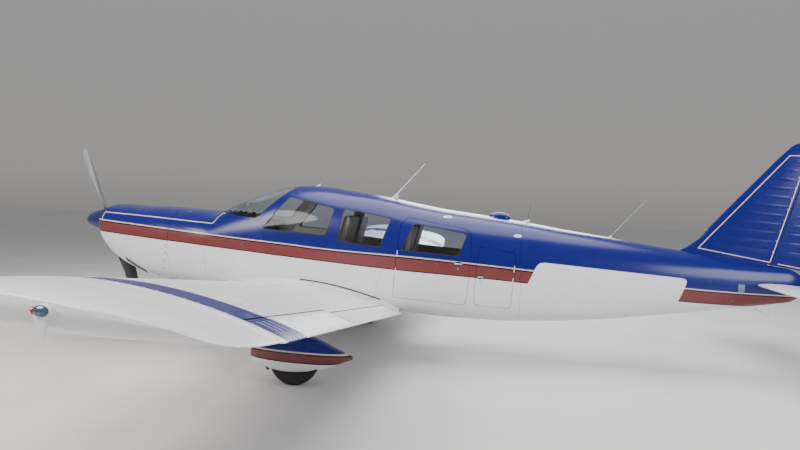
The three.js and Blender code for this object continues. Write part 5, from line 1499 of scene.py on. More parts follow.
def mainGear(side, word):
    wheelPlace = Vector((mainPlace.x, side * mainPlace.y, 0))
    whole, skin, cutters = pantSkin(word + "WheelPant", wheelPlace, pant, finishes["mainPant"])
    cutters.append(lathe("leg", [(0.0465, 0), (0.0465, 0.42)], legPoint(side, 0.1), (0, 0, 1),
                         finishes["black"], sides=32))
    cutters.append(lathe("axle", [(0.0205, 0), (0.0205, 0.2)], wheelPlace + Vector((0, -side * 0.2, axleZ)),
                         (0, side, 0), finishes["black"], sides=24))
    carve(skin, *cutters)
    place(matchShading(skin, whole), "airframe", "pant_paint", word + "_wheel_pant")
    discard(whole)

    foot, up = legPoint(side, 0.180), (0, 0, 1)
    cylinder = [(0.031, 0.218), (0.040, 0.219), (0.0448, 0.224), (0.0448, 0.246), (0.0385, 0.250),
                (0.0385, 0.300), (0.0448, 0.306), (0.0448, 0.330), (0.0390, 0.336), (0.0390, 0.419)]
    parts = [
        lathe("piston", [(0.0235, 0.002), (0.0235, 0.23)], foot, up, finishes["chrome"], sides=32),
        lathe("shoe", [(0.026, 0), (0.0298, 0.004), (0.0298, 0.078), (0.0245, 0.084)], foot, up,
              finishes["white"], sides=32),
        lathe("cylinder", cylinder, foot, up, finishes["white"], sides=32),
        lathe("head", [(0.039, 0.41), (0.0448, 0.415), (0.0448, 0.52)], foot, up, finishes["white"],
              sides=32),
        lathe("axle", [(0.0185, 0.0), (0.0198, 0.004), (0.0198, 0.232), (0.017, 0.2385)],
              legPoint(side, axleZ) + Vector((0, side * 0.005, 0)),
              (0, side, 0), finishes["steel"], sides=24),
        lathe("axleNut", [(0.0185, 0), (0.0185, 0.006)], legPoint(side, axleZ) + Vector((0, side * 0.238, 0)),
              (0, side, 0),
              finishes["steel"], sides=6),
    ]
    hinge = legPoint(side, 0.330) + Vector((0.098, 0, 0))
    for z, reach in ((0.475, 0.036), (0.232, 0.026)):  # scissor links behind the leg
        root = legPoint(side, z) + Vector((reach, 0, 0))
        for offset in (-0.017, 0.017):
            parts.append(tube("link", [root + Vector((0, offset, 0)), hinge + Vector((0, offset * 0.55, 0))],
                              0.0055, finishes["white"], sides=8))
        parts.append(lathe("lug", [(0.009, -0.022), (0.009, 0.022)], root, (0, 1, 0), finishes["white"],
                           sides=16))
    parts.append(lathe("pin", [(0.007, -0.018), (0.007, 0.018)], hinge, (0, 1, 0), finishes["steel"],
                       sides=16))
    hose = [legPoint(side, z) + Vector((x, side * y, 0)) for x, y, z in ((-0.040, 0.010, 0.59),
                                                                         (-0.046, 0.012, 0.52),
                                                                         (-0.050, 0.020, 0.44),
                                                                         (-0.046, 0.034, 0.36),
                                                                         (-0.036, 0.046, 0.29),
                                                                         (-0.024, 0.052, 0.25))]
    parts.append(tube("hose", hose, 0.0045, finishes["seal"], sides=8))
    place(joined(word + "MainLeg", *parts), "airframe", "gear_metal", word + "_main_leg")
    calliper = block(word + "Calliper", legPoint(side, 0) + Vector((-0.075, side * 0.085 - 0.014, 0.215)),
                     legPoint(side, 0) + Vector((-0.030, side * 0.085 + 0.014, 0.275)), finishes["aluminium"],
                     bevel=0.005)
    place(calliper, "airframe", "gear_metal")


def noseGear():
    whole, skin, cutters = pantSkin("noseWheelPant", nosePlace, nosePant, finishes["nosePant"])
    crown = onSteer(0.490).x
    cutters.append(block("crown", (crown - 0.056, -nosePant["wellHalf"], 0.3),
                         (crown + 0.056, nosePant["wellHalf"], 0.514), finishes["black"]))
    low, high = onSteer(0.430), onSteer(0.600)
    cutters.append(lathe("leg", [(nosePant["legHole"], 0), (nosePant["legHole"], (high - low).length)], low,
                         high - low, finishes["black"]))
    carve(skin, *cutters)
    place(matchShading(skin, whole), "nose_gear", "pant_paint", "nose_wheel_pant")
    discard(whole)

    foot, head = onSteer(0.482), onSteer(0.940)
    along = head - foot
    parts = [lathe("piston", [(0.0297, 0), (0.0297, along.length)], foot, along, finishes["chrome"],
                   sides=36), lathe("collar", [(0.036, -0.012), (0.041, -0.008), (0.041, 0.026),
                                               (0.033, 0.032)], foot, along, finishes["white"], sides=36)]
    crownShape = rounded(block("crown", (-0.034, -0.104, -0.013), (0.034, 0.104, 0.013), finishes["white"]),
                         0.006)
    crownShape.data.transform(Matrix.Translation(foot) @ Matrix.Rotation(math.atan2(steerLine.x,
                                                                                    -steerLine.z) * -1, 4,
                                                                         "Y"))
    parts.append(crownShape)
    for side in (-1, 1):
        rings = []
        for z, reach in ((axleZ - 0.030, 0.021), (axleZ - 0.020, 0.026), (axleZ + 0.03, 0.028), (0.30, 0.024),
                         (0.40, 0.026), (0.482, 0.030)):
            spot = onSteer(z)
            corners = [(-reach, -0.0055), (reach, -0.0055), (reach, 0.0055), (-reach, 0.0055)]
            rings.append([Vector((spot.x + dx, side * 0.098 + dy, z)) for dx, dy in corners])
        parts.append(rounded(loft("blade", rings, finishes["white"]), 0.002))
        parts.append(lathe("nut", [(0.015, 0), (0.015, 0.005)], noseAxle + Vector((0, side * 0.0985, 0)),
                           (0, side, 0), finishes["steel"], sides=6))
    parts.append(lathe("axle", [(0.0196, -0.1015), (0.0196, 0.1015)], noseAxle, (0, 1, 0), finishes["steel"],
                       sides=24))
    place(joined("noseFork", *parts), "nose_gear", "gear_metal", "nose_fork")

    levels = [(0.575, 0.086, 0.046, 0.034), (0.579, 0.0905, 0.0505, 0.0385), (0.60, 0.0925, 0.0525, 0.0402),
              (0.70, 0.097, 0.058, 0.042), (0.80, 0.1018, 0.0633, 0.0431), (0.88, 0.106, 0.068, 0.044)]
    rings = []
    for z, ahead, behind, half in levels:
        middle = onSteer(z).x
        ring = []
        for c, s in circle(56):
            ring.append(Vector((middle + (ahead if c < 0 else behind) * c,
                                half * s * (1 - 0.35 * c if c > 0 else 1), z)))
        rings.append(ring)
    # painted shade: the leg fairing and the strut take the black finish for the shade they stand in under the
    # nose
    legFairing = loft("noseLegFairing", rings, finishes["black"])
    axisBore = lathe("bore", [(0.0302, 0), (0.0302, 0.46)], onSteer(0.50), along, finishes["black"], sides=36)
    strut = lathe("strut", [(0.0335, 0), (0.0395, 0.004), (0.0438, 0.008), (0.0438, 0.030), (0.040, 0.034),
                            (0.040, 0.440), (0.0438, 0.444), (0.0438, 0.490)], onSteer(0.524), along,
                  finishes["black"], sides=36)
    carve(legFairing, strut, operation="UNION")
    carve(legFairing, axisBore)
    smooth(legFairing, 35)
    mount = block("mount", (at(5), -0.040, 0.972), (at(38.4), 0.040, 1.011), finishes["steel"], bevel=0.004)
    place(joined("noseLeg", legFairing, mount), "airframe", "gear_metal", "nose_leg")


def undercarriage():
    for side, word in bothSides:
        mainGear(side, word)
        wheel(word, Vector((mainPlace.x, side * mainPlace.y, 0)), word + "_wheel", word + "_tyre",
              word + "_hub", -side)
    wheel("nose", nosePlace, "nose_wheel", "nose_tyre", "nose_hub", 0)
    noseGear()
    print("undercarriage made")


# Propeller, spinner, exhaust and engine
prop = {"z": 1.352, "plane": -2.2, "tilt": math.radians(32.5), "hub": 0.062, "shaft": 0.034}
bladeSections = [  # distance from the axis, chord, thickness and pitch in millimetres and degrees
    (58, 84, 62, 40), (150, 104, 42, 36), (300, 145, 30, 28), (500, 168, 21, 20), (700, 166, 15, 13.5),
    (860, 146, 10, 10.5), (935, 112, 7, 9.5), (965, 56, 4, 9),
]
spinnerShape = {"tip": -13.6, "base": 0.1, "radius": 0.140, "wall": 0.004, "slot": (0.112, 0.122)}


def onShaft(station):
    return Vector((at(station), 0, prop["z"]))


def blade(turned):
    outline = airfoil(1, 1, 0.25, 22)
    stops = [58 + 897 * (k / 46) for k in range(47)] + [958, 961.5, 964, 965]
    rings = []
    for radius in stops:
        chord, thickness, pitch = (v for v in curveThrough(bladeSections, radius))
        angle = math.radians(pitch)
        ring = []
        for c, h in outline:
            along, up = (c - 0.4) * chord / 1000, h * thickness / 1000
            ring.append(Vector((along * math.sin(angle) - up * math.cos(angle),
                                -along * math.cos(angle) - up * math.sin(angle), radius / 1000)))
        rings.append(ring)
    obj = smooth(loft("blade", rings, finishes["propeller"]), 50)
    obj.data.transform(Matrix.Translation(onShaft(prop["plane"])) @ Matrix.Rotation(turned, 4, "X"))
    cuff = lathe("cuff", [(0.030, 0.050), (0.046, 0.056), (0.046, 0.090), (0.038, 0.104), (0.030, 0.112)],
                 (0, 0, 0), (0, 0, 1), finishes["black"], sides=36)
    cuff.data.transform(Matrix.Translation(onShaft(prop["plane"])) @ Matrix.Rotation(turned, 4, "X"))
    return [obj, cuff]


def noseCurve(radius, reach, count=30):  # the spinner's profile from its tip to its base
    angles = [math.pi / 2 * k / count for k in range(count + 1)]
    return [(radius * math.sin(angle) ** 0.92, -reach * math.cos(angle)) for angle in angles]


def engineRoom():
    hub = lathe("hub", [(0.040, -0.066), (0.058, -0.060), (0.062, -0.050), (0.062, 0.036), (0.056, 0.043)],
                onShaft(prop["plane"]), (1, 0, 0), finishes["aluminium"])
    shaft = lathe("shaft", [(prop["shaft"], 0), (prop["shaft"], (8.5 - prop["plane"]) * inch)],
                  onShaft(prop["plane"]), (1, 0, 0), finishes["steel"])
    parts = blade(prop["tilt"]) + blade(prop["tilt"] + math.pi)
    place(joined("propeller", *parts, hub, shaft), "propeller", "propeller_metal", "propeller")

    length = (spinnerShape["base"] - spinnerShape["tip"]) * inch
    outer = noseCurve(spinnerShape["radius"], length - 0.0005)
    inner = [(max(r - spinnerShape["wall"], 0.0002), min(0, along + 0.006)) for r, along in reversed(outer)]
    cone = lathe("spinner", outer + inner[:-1] + [(0.0002, -length + 0.012)], onShaft(spinnerShape["base"]),
                 (1, 0, 0), finishes["spinner"], sides=96)
    plate = lathe("plate", [(0.0635, 0), (0.1375, 0), (0.1375, 0.008), (0.0635, 0.008)],
                  onShaft(spinnerShape["base"]) - Vector((0.031, 0, 0)), (1, 0, 0), finishes["aluminium"],
                  sides=64, shut=True)
    carve(cone, plate, operation="UNION")
    slots = []
    for turned in (prop["tilt"], prop["tilt"] + math.pi):
        wide, deep = spinnerShape["slot"]
        slot = block("slot", (-wide / 2, -deep / 2, 0.04), (wide / 2, deep / 2, 0.20), finishes["black"],
                     bevel=0.030, segments=5)
        slot.data.transform(Matrix.Translation(onShaft(prop["plane"])) @ Matrix.Rotation(turned, 4, "X"))
        slots.append(slot)
    carve(cone, *slots)
    smooth(cone, 30)
    spots = []
    for k in range(24):
        angle = turn(24, k) + 0.13
        lean = Vector((0, math.cos(angle), math.sin(angle)))
        off = (angle - prop["tilt"] - math.pi / 2) % math.pi
        if 0.62 < off < math.pi - 0.62:
            spots.append((onShaft(spinnerShape["base"]) - Vector((0.027, 0, 0)) + lean * 0.1386, lean,
                          Vector((1, 0, 0))))
    place(joined("spinner", cone, heads("spinnerScrews", spots, 0.0045, 0.0045, 0.0016, finishes["steel"],
                                        8)), "propeller", "spinner_metal", "spinner")

    station, z, y0, radius, wall = 23, 0.925, 0.150, 0.026, 0.003
    parts = [tube("cross", [(at(station), -y0, z), (at(station), y0, z)], radius - 0.001, finishes["exhaust"],
                  sides=24)]
    for side in (-1, 1):
        bend, mouth = Vector((at(station), side * y0, z)), Vector((at(34.2), side * y0, 0.658))
        along, reach = (mouth - bend).normalized(), (mouth - bend).length
        profile = [(0.010, 0), (radius, 0.008), (radius, reach), (radius - wall, reach),
                   (radius - wall, reach * 0.7)]
        pipe = lathe("pipe", profile, bend, along, finishes["exhaust"], sides=28)
        parts += [pipe, tube("riser", [bend, bend + Vector((0, 0, 0.0945))], radius - 0.0005,
                             finishes["exhaust"], sides=24)]
        parts.append(lathe("elbow", [(0.012, -0.024), (0.022, -0.016), (0.0265, 0), (0.022, 0.016),
                                     (0.012, 0.024)], bend, (0, 0, 1), finishes["exhaust"], sides=24))
        clampSpot = bend + along * 0.10
        parts.append(lathe("clamp", [(0.0262, -0.008), (0.0262, 0.008)], clampSpot, along, finishes["steel"],
                           sides=28))
    place(joined("exhaust", *parts), "airframe", "engine_metal", "exhaust")
    engine()
    print("propeller and engine made")


def engine():  # crankcase, finned cylinders and their covers, inside the engine block's own space
    front, rear, top, low = at(7.2), at(36), 1.440, 1.020
    parts = [block("case", (front, -0.11, low + 0.01), (rear, 0.11, top - 0.03), finishes["iron"],
                   bevel=0.02), lathe("nose", [(0.080, 0), (0.080, 0.09), (0.092, 0.104)], onShaft(3.2),
                                      (1, 0, 0), finishes["iron"]),
             block("sump", (front + 0.10, -0.20, low), (rear - 0.06, 0.20, low + 0.12), finishes["iron"],
                   bevel=0.02)]
    for y, z in ((-0.22, 1.09), (0.22, 1.09), (-0.22, 1.37), (0.22, 1.37)):
        spot = Vector((at(36) - 0.12, y, z))
        parts.append(lathe("foot", [(0.016, 0), (0.016, 0.15), (0.0295, 0.152),
                                    (0.0295, at(38.5) - 0.0004 - spot.x)], spot, (1, 0, 0), finishes["steel"],
                           sides=20))
        parts.append(tube("brace", [(spot.x + 0.03, y * 0.98, z), (spot.x - 0.10, y * 0.45, 1.2)], 0.013,
                          finishes["steel"], sides=12))
    for side in (-1, 1):
        for k in range(3):
            middle = Vector((front + 0.14 + k * 0.205 + (0.03 if side > 0 else 0), side * 0.1, 1.272))
            parts.append(block("cover", (middle.x - 0.062, min(side * 0.30, side * 0.355), middle.z - 0.075),
                               (middle.x + 0.062, max(side * 0.30, side * 0.355), middle.z + 0.060),
                               finishes["iron"], bevel=0.012))
            fins = []
            for j in range(12):
                y = 0.01 + j * 0.0155
                fins += [(0.060, y), (0.082, y + 0.001), (0.082, y + 0.0045), (0.060, y + 0.0055)]
            parts.append(lathe("cylinder", fins, middle, (0, side, 0), finishes["aluminium"], sides=32))
            parts.append(tube("lead", [middle + Vector((0.02, side * 0.17, 0.08)),
                                       middle + Vector((0.02, side * 0.15, 0.13)),
                                       Vector((middle.x + 0.03, side * 0.09, top - 0.022))], 0.0045,
                              finishes["seal"], sides=8))
    place(joined("engineBlock", *parts), "airframe", "engine_metal", "engine_block")


# Cabin furniture
def floorZ(x):
    return 0.770 + (0.545 - 0.770) * (x - at(61)) / (at(187) - at(61))


seatRows = [  # body node, front station, middles of the seats, width, height of the back
    ("front_left_seat", 92.0, (-0.284,), 0.450, 0.520), ("front_right_seat", 92.0, (0.284,), 0.450, 0.520),
    ("middle_seats", 118.5, (-0.262, 0.262), 0.420, 0.480),
    ("rear_seats", 143.0, (-0.205, 0.205), 0.400, 0.420),
]
seat = {"length": 0.470, "height": 0.315, "thick": 0.110, "voxel": 0.0125, "shrink": 0.010, "cap": 0.014,
        "pressure": 4.0, "channels": 3}
cushionStore = {}


def stuffed(name, length, width, thick, frontRound):
    key = (round(length, 3), round(width, 3), round(thick, 3))
    if key in cushionStore:
        return copied(cushionStore[key], name)
    inset = seat["shrink"]
    obj = block(name, (inset, inset - width / 2, 0.002), (length - inset, width / 2 - inset, thick - inset),
                finishes["vinyl"], bevel=frontRound, segments=4)
    shape = obj.modifiers.new("voxels", "REMESH")
    shape.mode = "VOXEL"
    shape.voxel_size = seat["voxel"]
    applied(obj)
    lines = [-width / 2 + width * k / (seat["channels"] + 1) for k in range(1, seat["channels"] + 1)]
    held = obj.vertex_groups.new(name="held")
    for v in obj.data.vertices:
        onLine = min(abs(v.co.y - y) for y in lines) < seat["voxel"] * 0.6 and v.co.z > thick * 0.5
        if v.co.z < 0.012 or onLine and 0.05 < v.co.x < length - 0.04:
            held.add([v.index], 1.0, "REPLACE")
    rest = [v.co.copy() for v in obj.data.vertices]
    cloth = obj.modifiers.new("stuffing", "CLOTH")
    cloth.settings.use_pressure = True
    cloth.settings.uniform_pressure_force = seat["pressure"]
    cloth.settings.effector_weights.gravity = 0
    cloth.settings.vertex_group_mass = "held"
    for step in range(1, 21):
        bpy.context.scene.frame_set(step)
    swollen = obj.evaluated_get(bpy.context.evaluated_depsgraph_get()).data
    shifts = [v.co - was for v, was in zip(swollen.vertices, rest)]
    obj.modifiers.remove(cloth)
    bpy.context.scene.frame_set(1)
    for v, was, shift in zip(obj.data.vertices, rest, shifts):
        v.co = was + shift * min(1.0, seat["cap"] / max(shift.length, 1e-6))
    obj.vertex_groups.clear()
    finer = obj.modifiers.new("finer", "SUBSURF")
    finer.levels = finer.render_levels = 1
    applied(obj)
    for v in obj.data.vertices:  # sewn channels pressed into the top
        gap = min(abs(v.co.y - y) for y in lines)
        if v.co.z > thick * 0.5 and gap < 0.02:
            v.co.z -= 0.007 * math.exp(-(gap / 0.006) ** 2)
    smooth(obj, 180)
    cushionStore[key] = copied(obj, name + "Kept")
    return obj


def seatPieces(name, node, station, middles, width, backHeight):
    front, rear = at(station), at(station) + seat["length"]
    top = floorZ(front + seat["length"] / 2) + seat["height"]
    under = top - seat["thick"]
    lean = backHeight * 0.2
    metal, trim = [], []
    for number, y in enumerate(middles):
        flat = Matrix.Translation((front, y, under)) @ Matrix.Rotation(math.radians(1.2), 4, "Y")
        footLine, headLine = Vector((rear - 0.012, y, top - 0.012)), Vector((rear + lean + 0.022, y,
                                                                             top + backHeight - 0.006))
        up = (headLine - footLine).normalized()
        out = Vector((-up.z, 0, up.x))
        lying = Matrix((up, (0, 1, 0), out)).transposed().to_4x4()
        upright = Matrix.Translation(footLine - out * 0.092) @ lying
        for part, length, thick, wheelPlace in (("Cushion", 0.470, 0.112, flat),
                                                ("Back", (headLine - footLine).length, 0.096, upright)):
            cushion = stuffed(name + part, length, width, thick, 0.035)
            cushion.data.transform(wheelPlace)
            outward(cushion)
            cushion.name = name + part + str(number)
            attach(cushion, "airframe")
            lines = [-width / 2 + width * k / (seat["channels"] + 1) for k in range(1, seat["channels"] + 1)]
            level = thick - seat["shrink"] - 0.005
            for line in lines:
                path = [wheelPlace @ Vector((0.045 + (length - 0.09) * k / 12, line, level))
                        for k in range(13)]
                trim.append(tube("seam", path, 0.0022, finishes["seal"], sides=6))
        metal.append(block("pan", (front + 0.03, y - width / 2 + 0.03, under - 0.010),
                           (rear - 0.02, y + width / 2 - 0.03, under - 0.001), finishes["panel"],
                           bevel=0.003))
        for side in (-1, 1):
            edge = y + side * (width / 2 - 0.012)
            metal.append(block("recliner", (rear - 0.045, edge - 0.004, under + 0.005),
                               (rear + 0.012, edge + 0.004, top + 0.045), finishes["panel"], bevel=0.003))
    if node == "middle_seats":
        lowFront, lowRear = floorZ(front + 0.06) + 0.001, floorZ(rear - 0.04) + 0.001
        outline = [(front + 0.06, lowFront), (rear - 0.038, lowRear), (rear - 0.038, under - 0.008),
                   (front + 0.06, under - 0.008)]
        metal.append(rounded(prism(outline, -0.410, 0.410, finishes["vinyl"]), 0.012, 3))
    else:
        spread = [y + side * (width / 2 - 0.055) for y in middles for side in (-1, 1)]
        for y in (spread[0], spread[-1]):
            rail = [Vector((x, y, floorZ(x) + 0.008)) for x in (front + 0.035, rear + 0.01)]
            metal.append(tube("rail", rail, 0.0068, finishes["aluminium"], sides=10))
            for x in (front + 0.077, rear - 0.055):
                metal.append(tube("leg", [(x, y, floorZ(x) + 0.008), (x, y, under - 0.006)], 0.0115,
                                  finishes["aluminium"], sides=16))
            metal.append(tube("brace", [(front + 0.077, y, floorZ(front) + 0.012),
                                        (rear - 0.055, y, under - 0.03)], 0.007, finishes["aluminium"],
                              sides=12))
    place(joined(name + "Frame", *metal), "airframe", "upholstery", node)
    place(joined(name + "Seams", *trim), "airframe", "upholstery")


panel = {"x": at(72), "wide": 0.620, "low": 1.035, "high": 1.425, "thick": 0.030, "shelf": at(57.4),
         "hood": 0.060}
dials = [  # across and up from the panel's middle and lower edge, radius
    (-0.440, 0.245, 0.038), (-0.350, 0.245, 0.038), (-0.260, 0.245, 0.038), (-0.440, 0.152, 0.038),
    (-0.350, 0.152, 0.038), (-0.260, 0.152, 0.038), (-0.520, 0.240, 0.026), (-0.520, 0.165, 0.026),
    (-0.170, 0.245, 0.026), (-0.170, 0.175, 0.026), (0.245, 0.250, 0.026), (0.315, 0.250, 0.026),
    (0.385, 0.250, 0.026), (0.455, 0.250, 0.026), (0.245, 0.180, 0.026), (0.315, 0.180, 0.026),
    (0.385, 0.180, 0.026),
]


def instrumentPanel():
    front, face = panel["x"], panel["x"] + panel["thick"]
    inside = hull("room", panel["shelf"] - 0.001, at(80), body["cabinWall"] + 0.003)
    board = block("instrumentPanel", (front, -panel["wide"], panel["low"]),
                  (face - 0.004, panel["wide"], panel["high"]), finishes["panel"], bevel=0.004)
    hood = block("hood", (panel["shelf"], -panel["wide"], panel["high"] - 0.012),
                 (front + panel["hood"], panel["wide"], panel["high"] + 0.012), finishes["seal"], bevel=0.009,
                 segments=3)
    carve(board, hood, operation="UNION")
    carve(board, inside, operation="INTERSECT")
    smooth(board, 35)
    parts, marks = [board], []
    for y, up, radius in dials:
        middle = Vector((face - 0.004, y, panel["low"] + up))
        parts.append(lathe("bezel", [(radius - 0.004, 0.0006), (radius - 0.0035, 0.0045),
                                     (radius + 0.003, 0.0038), (radius + 0.0042, 0)], middle, (1, 0, 0),
                           finishes["panel"], sides=32, shut=True))
        parts.append(lathe("face", [(radius - 0.003, -0.002), (radius - 0.003, 0.0010)], middle, (1, 0, 0),
                           finishes["dialFace"], sides=32))
        for c, s in circle(12):
            lean = Vector((0, c, s))
            marks.append((middle + Vector((0.0011, 0, 0)) + lean * radius * 0.74, Vector((1, 0, 0)), lean))
        angle = (y * 37 + up * 91) % 6.2
        lean = Vector((0, math.cos(angle), math.sin(angle)))
        parts.append(tube("pointer", [middle + Vector((0.002, 0, 0)) - lean * radius * 0.2,
                                      middle + Vector((0.002, 0, 0)) + lean * radius * 0.62],
                          [0.0016, 0.0006], finishes["dialMark"], sides=6))
    for tall, up in ((0.040, 0.315), (0.048, 0.262), (0.048, 0.207), (0.034, 0.160), (0.034, 0.120)):
        z = panel["low"] + up
        parts.append(block("radio", (face - 0.006, -0.095, z - tall / 2 + 0.002),
                           (face + 0.003, 0.095, z + tall / 2 - 0.002), finishes["seal"], bevel=0.002))
        parts.append(block("screen", (face, -0.055, z - tall / 4), (face + 0.0036, 0.045, z + tall / 4),
                           finishes["dialFace"]))
        for y in (-0.080, 0.068, 0.084):
            parts.append(lathe("knob", [(0.0065, 0), (0.006, 0.011), (0.0045, 0.0125)], (face + 0.002, y, z),
                               (1, 0, 0), finishes["panel"], sides=16))
    parts.append(block("glovebox", (face - 0.006, 0.225, panel["low"] + 0.025),
                       (face + 0.002, 0.475, panel["low"] + 0.125), finishes["panel"], bevel=0.005))
    for k in range(8):
        y = -0.50 + k * 0.032
        parts.append(block("switch", (face - 0.004, y - 0.008, panel["low"] + 0.040),
                           (face + 0.009, y + 0.008, panel["low"] + 0.066), finishes["dialMark"],
                           bevel=0.002))
    for k, colour in enumerate(("panel", "redLens", "blue")):
        y = -0.022 + 0.022 * k
        parts.append(block("lever", (face - 0.01, y - 0.003, panel["low"] + 0.045),
                           (face + 0.055, y + 0.003, panel["low"] + 0.060), finishes["steel"]))
        parts.append(lathe("grip", [(0.003, 0), (0.0095, 0.003), (0.0095, 0.018), (0.004, 0.022)],
                           (face + 0.05, y, panel["low"] + 0.053), (1, 0, 0.2), finishes[colour], sides=16))
    for y in (-0.280, 0.280):
        z, hubX = 1.215, panel["x"] + 0.210
        parts.append(tube("column", [(front + 0.01, y, z), (hubX, y, z)], 0.0122, finishes["chrome"],
                          sides=20))
        parts.append(lathe("gaiter", [(0.013, 0), (0.026, 0), (0.024, 0.006), (0.013, 0.009)],
                           (face - 0.005, y, z), (1, 0, 0), finishes["seal"], sides=24))
        parts.append(block("hub", (hubX - 0.013, y - 0.042, z - 0.016), (hubX + 0.013, y + 0.042, z + 0.018),
                           finishes["panel"], bevel=0.006, segments=3))
        for side in (-1, 1):
            path = [(0.03, -0.002), (0.06, -0.004), (0.09, -0.003), (0.110, 0.006), (0.122, 0.022),
                    (0.128, 0.045), (0.130, 0.072), (0.127, 0.090)]
            parts.append(tube("horn", [(hubX, y + side * a, z + b) for a, b in path],
                              [0.010, 0.010, 0.011, 0.012, 0.0125, 0.0135, 0.0135, 0.010], finishes["vinyl"],
                              sides=14))
    parts.append(heads("dialMarks", marks, 0.0032, 0.0008, 0.0005, finishes["dialMark"], 5))
    place(joined("instrumentPanel", *parts), "airframe", "panel_plastic", "instrument_panel")


def interior():
    x0, x1 = at(61), at(187)
    carpet = hull("cabinFloor", at(59), at(188), body["cabinWall"] + 0.0006, finishes["carpet"])
    slab = [(x0, floorZ(x0)), (x1, floorZ(x1)), (x1, floorZ(x1) - 0.026), (x0, floorZ(x0) - 0.026)]
    carve(carpet, prism(slab, -0.7, 0.7, finishes["carpet"]), operation="INTERSECT")
    place(smooth(carpet, 30), "airframe", "carpet", "cabin_floor")
    for node, station, middles, width, backHeight in seatRows:
        first, *rest = node.split("_")
        seatPieces(first + "".join(word.title() for word in rest), node, station, middles, width, backHeight)
    discard(*cushionStore.values())
    instrumentPanel()
    print("interior made")


# Fittings on the body
# an ellipsoid, its long axes turned by a matrix
def bead(name, middle, radii, *materials, sides=28, rows=14, facing=None):
    middle = Vector(middle)
    rings = []
    for row in range(rows + 1):
        angle = math.pi * row / rows
        r, h = max(math.sin(angle), 0.004), -math.cos(angle)
        ring = [Vector((radii[0] * r * c, radii[1] * r * s, radii[2] * h)) for c, s in circle(sides)]
        rings.append([middle + (facing @ p if facing else p) for p in ring])
    return smooth(loft(name, rings, *materials), 60)


def facingOut(normal, along):
    normal = normal.normalized()
    across = normal.cross(along).normalized()
    return Matrix((across.cross(normal).normalized(), across, normal)).transposed()


def onTop(x, y, inset=0.0):  # the skin above a place, from the angle that reaches it
    low, high = 0.0, math.pi / 2
    for _ in range(32):
        angle = (low + high) / 2
        if skinPoint(x, angle, inset).y > abs(y):
            low = angle
        else:
            high = angle
    spot = skinPoint(x, high, inset)
    return Vector((x, y, spot.z))


def topNormal(x, y, step=0.005):
    dx = onTop(x + step, y) - onTop(x - step, y)
    dy = onTop(x, y + step) - onTop(x, y - step)
    return dx.cross(dy).normalized()


def topPatch(name, x, y, halfLong, halfWide, rise, *materials):  # a thin oval lid laid on the nose
    rows, sides = 6, 56
    points, faces = [], []
    for lift in (rise, -0.002):
        for row in range(rows + 1):
            share = row / rows
            level = lift if lift < 0 else lift * math.sqrt(max(0.0, 1 - share ** 8)) if share < 1 else 0.0002
            for c, s in circle(sides):
                point = onTop(x + halfLong * share * c, y + halfWide * share * s)
                points.append(point + topNormal(point.x, point.y) * level)
    count = (rows + 1) * sides
    for layer in (0, count):
        for row in range(rows):
            for k in range(sides):
                a, b = layer + row * sides + k, layer + row * sides + (k + 1) % sides
                faces.append((a, b, b + sides, a + sides))
        faces.append(tuple(layer + k for k in range(sides)))
    for k in range(sides):
        a, b = rows * sides + k, rows * sides + (k + 1) % sides
        faces.append((a, b, b + count, a + count))
    obj = meshObject(name, points, faces, *materials)
    work = bmesh.new()
    work.from_mesh(obj.data)
    bmesh.ops.remove_doubles(work, verts=work.verts, dist=1e-6)
    bmesh.ops.recalc_face_normals(work, faces=work.faces)
    work.to_mesh(obj.data)
    work.free()
    return smooth(obj, 40)


def onSide(station, z, side):
    return onSkin(at(station), z, side), skinNormal(at(station), z, side)


def slimHandle(name, station, z, side, long, *materials):
    point, normal = onSide(station, z, side)
    along = (onSkin(point.x + 0.02, z, side) - point).normalized()
    out = facingOut(normal, along)
    parts = [bead("dish", point - normal * 0.001, (long * 0.62, 0.024, 0.0035), finishes["black"], facing=out,
                  rows=8), bead("lever", point + normal * 0.006, (long * 0.5, 0.0075, 0.0045), *materials,
                                facing=out, rows=10), lathe("pivot",
                                                            [(0.009, -0.004), (0.009, 0.0075),
                                                             (0.006, 0.009)], point + along * long * 0.32,
                                                            normal, finishes["chrome"], sides=20),
             lathe("lock", [(0.0085, -0.004), (0.0085, 0.0022), (0.006, 0.003)],
                   onSkin(point.x, z - 0.045, side), normal, finishes["chrome"], sides=20)]
    return joined(name, *parts)


def whip(name, foot, tipPoint, *materials):
    foot, tipPoint = Vector(foot), Vector(tipPoint)
    path = [foot.lerp(tipPoint, k / 10) for k in range(11)]
    return tube(name, path, [0.0026 - 0.0014 * k / 10 for k in range(11)], *materials, sides=8)


def bladeBase(x, y, long, wide, tall, *materials):  # a streamlined foot, sunk a little in the skin
    point, rings = onTop(x, y), []
    for share in (-0.25, 0.0, 0.15, 0.35, 0.6, 0.8, 0.93, 1.0):
        size = 1.0 if share <= 0 else (1 - share ** 1.6) * 0.82 + 0.18
        lean = max(0.0, share) * long * 0.55
        rings.append([point + Vector((lean + long / 2 * size * c, wide / 2 * size * s, tall * share))
                      for c, s in circle(24)])
    return smooth(loft("foot", rings, *materials), 50)


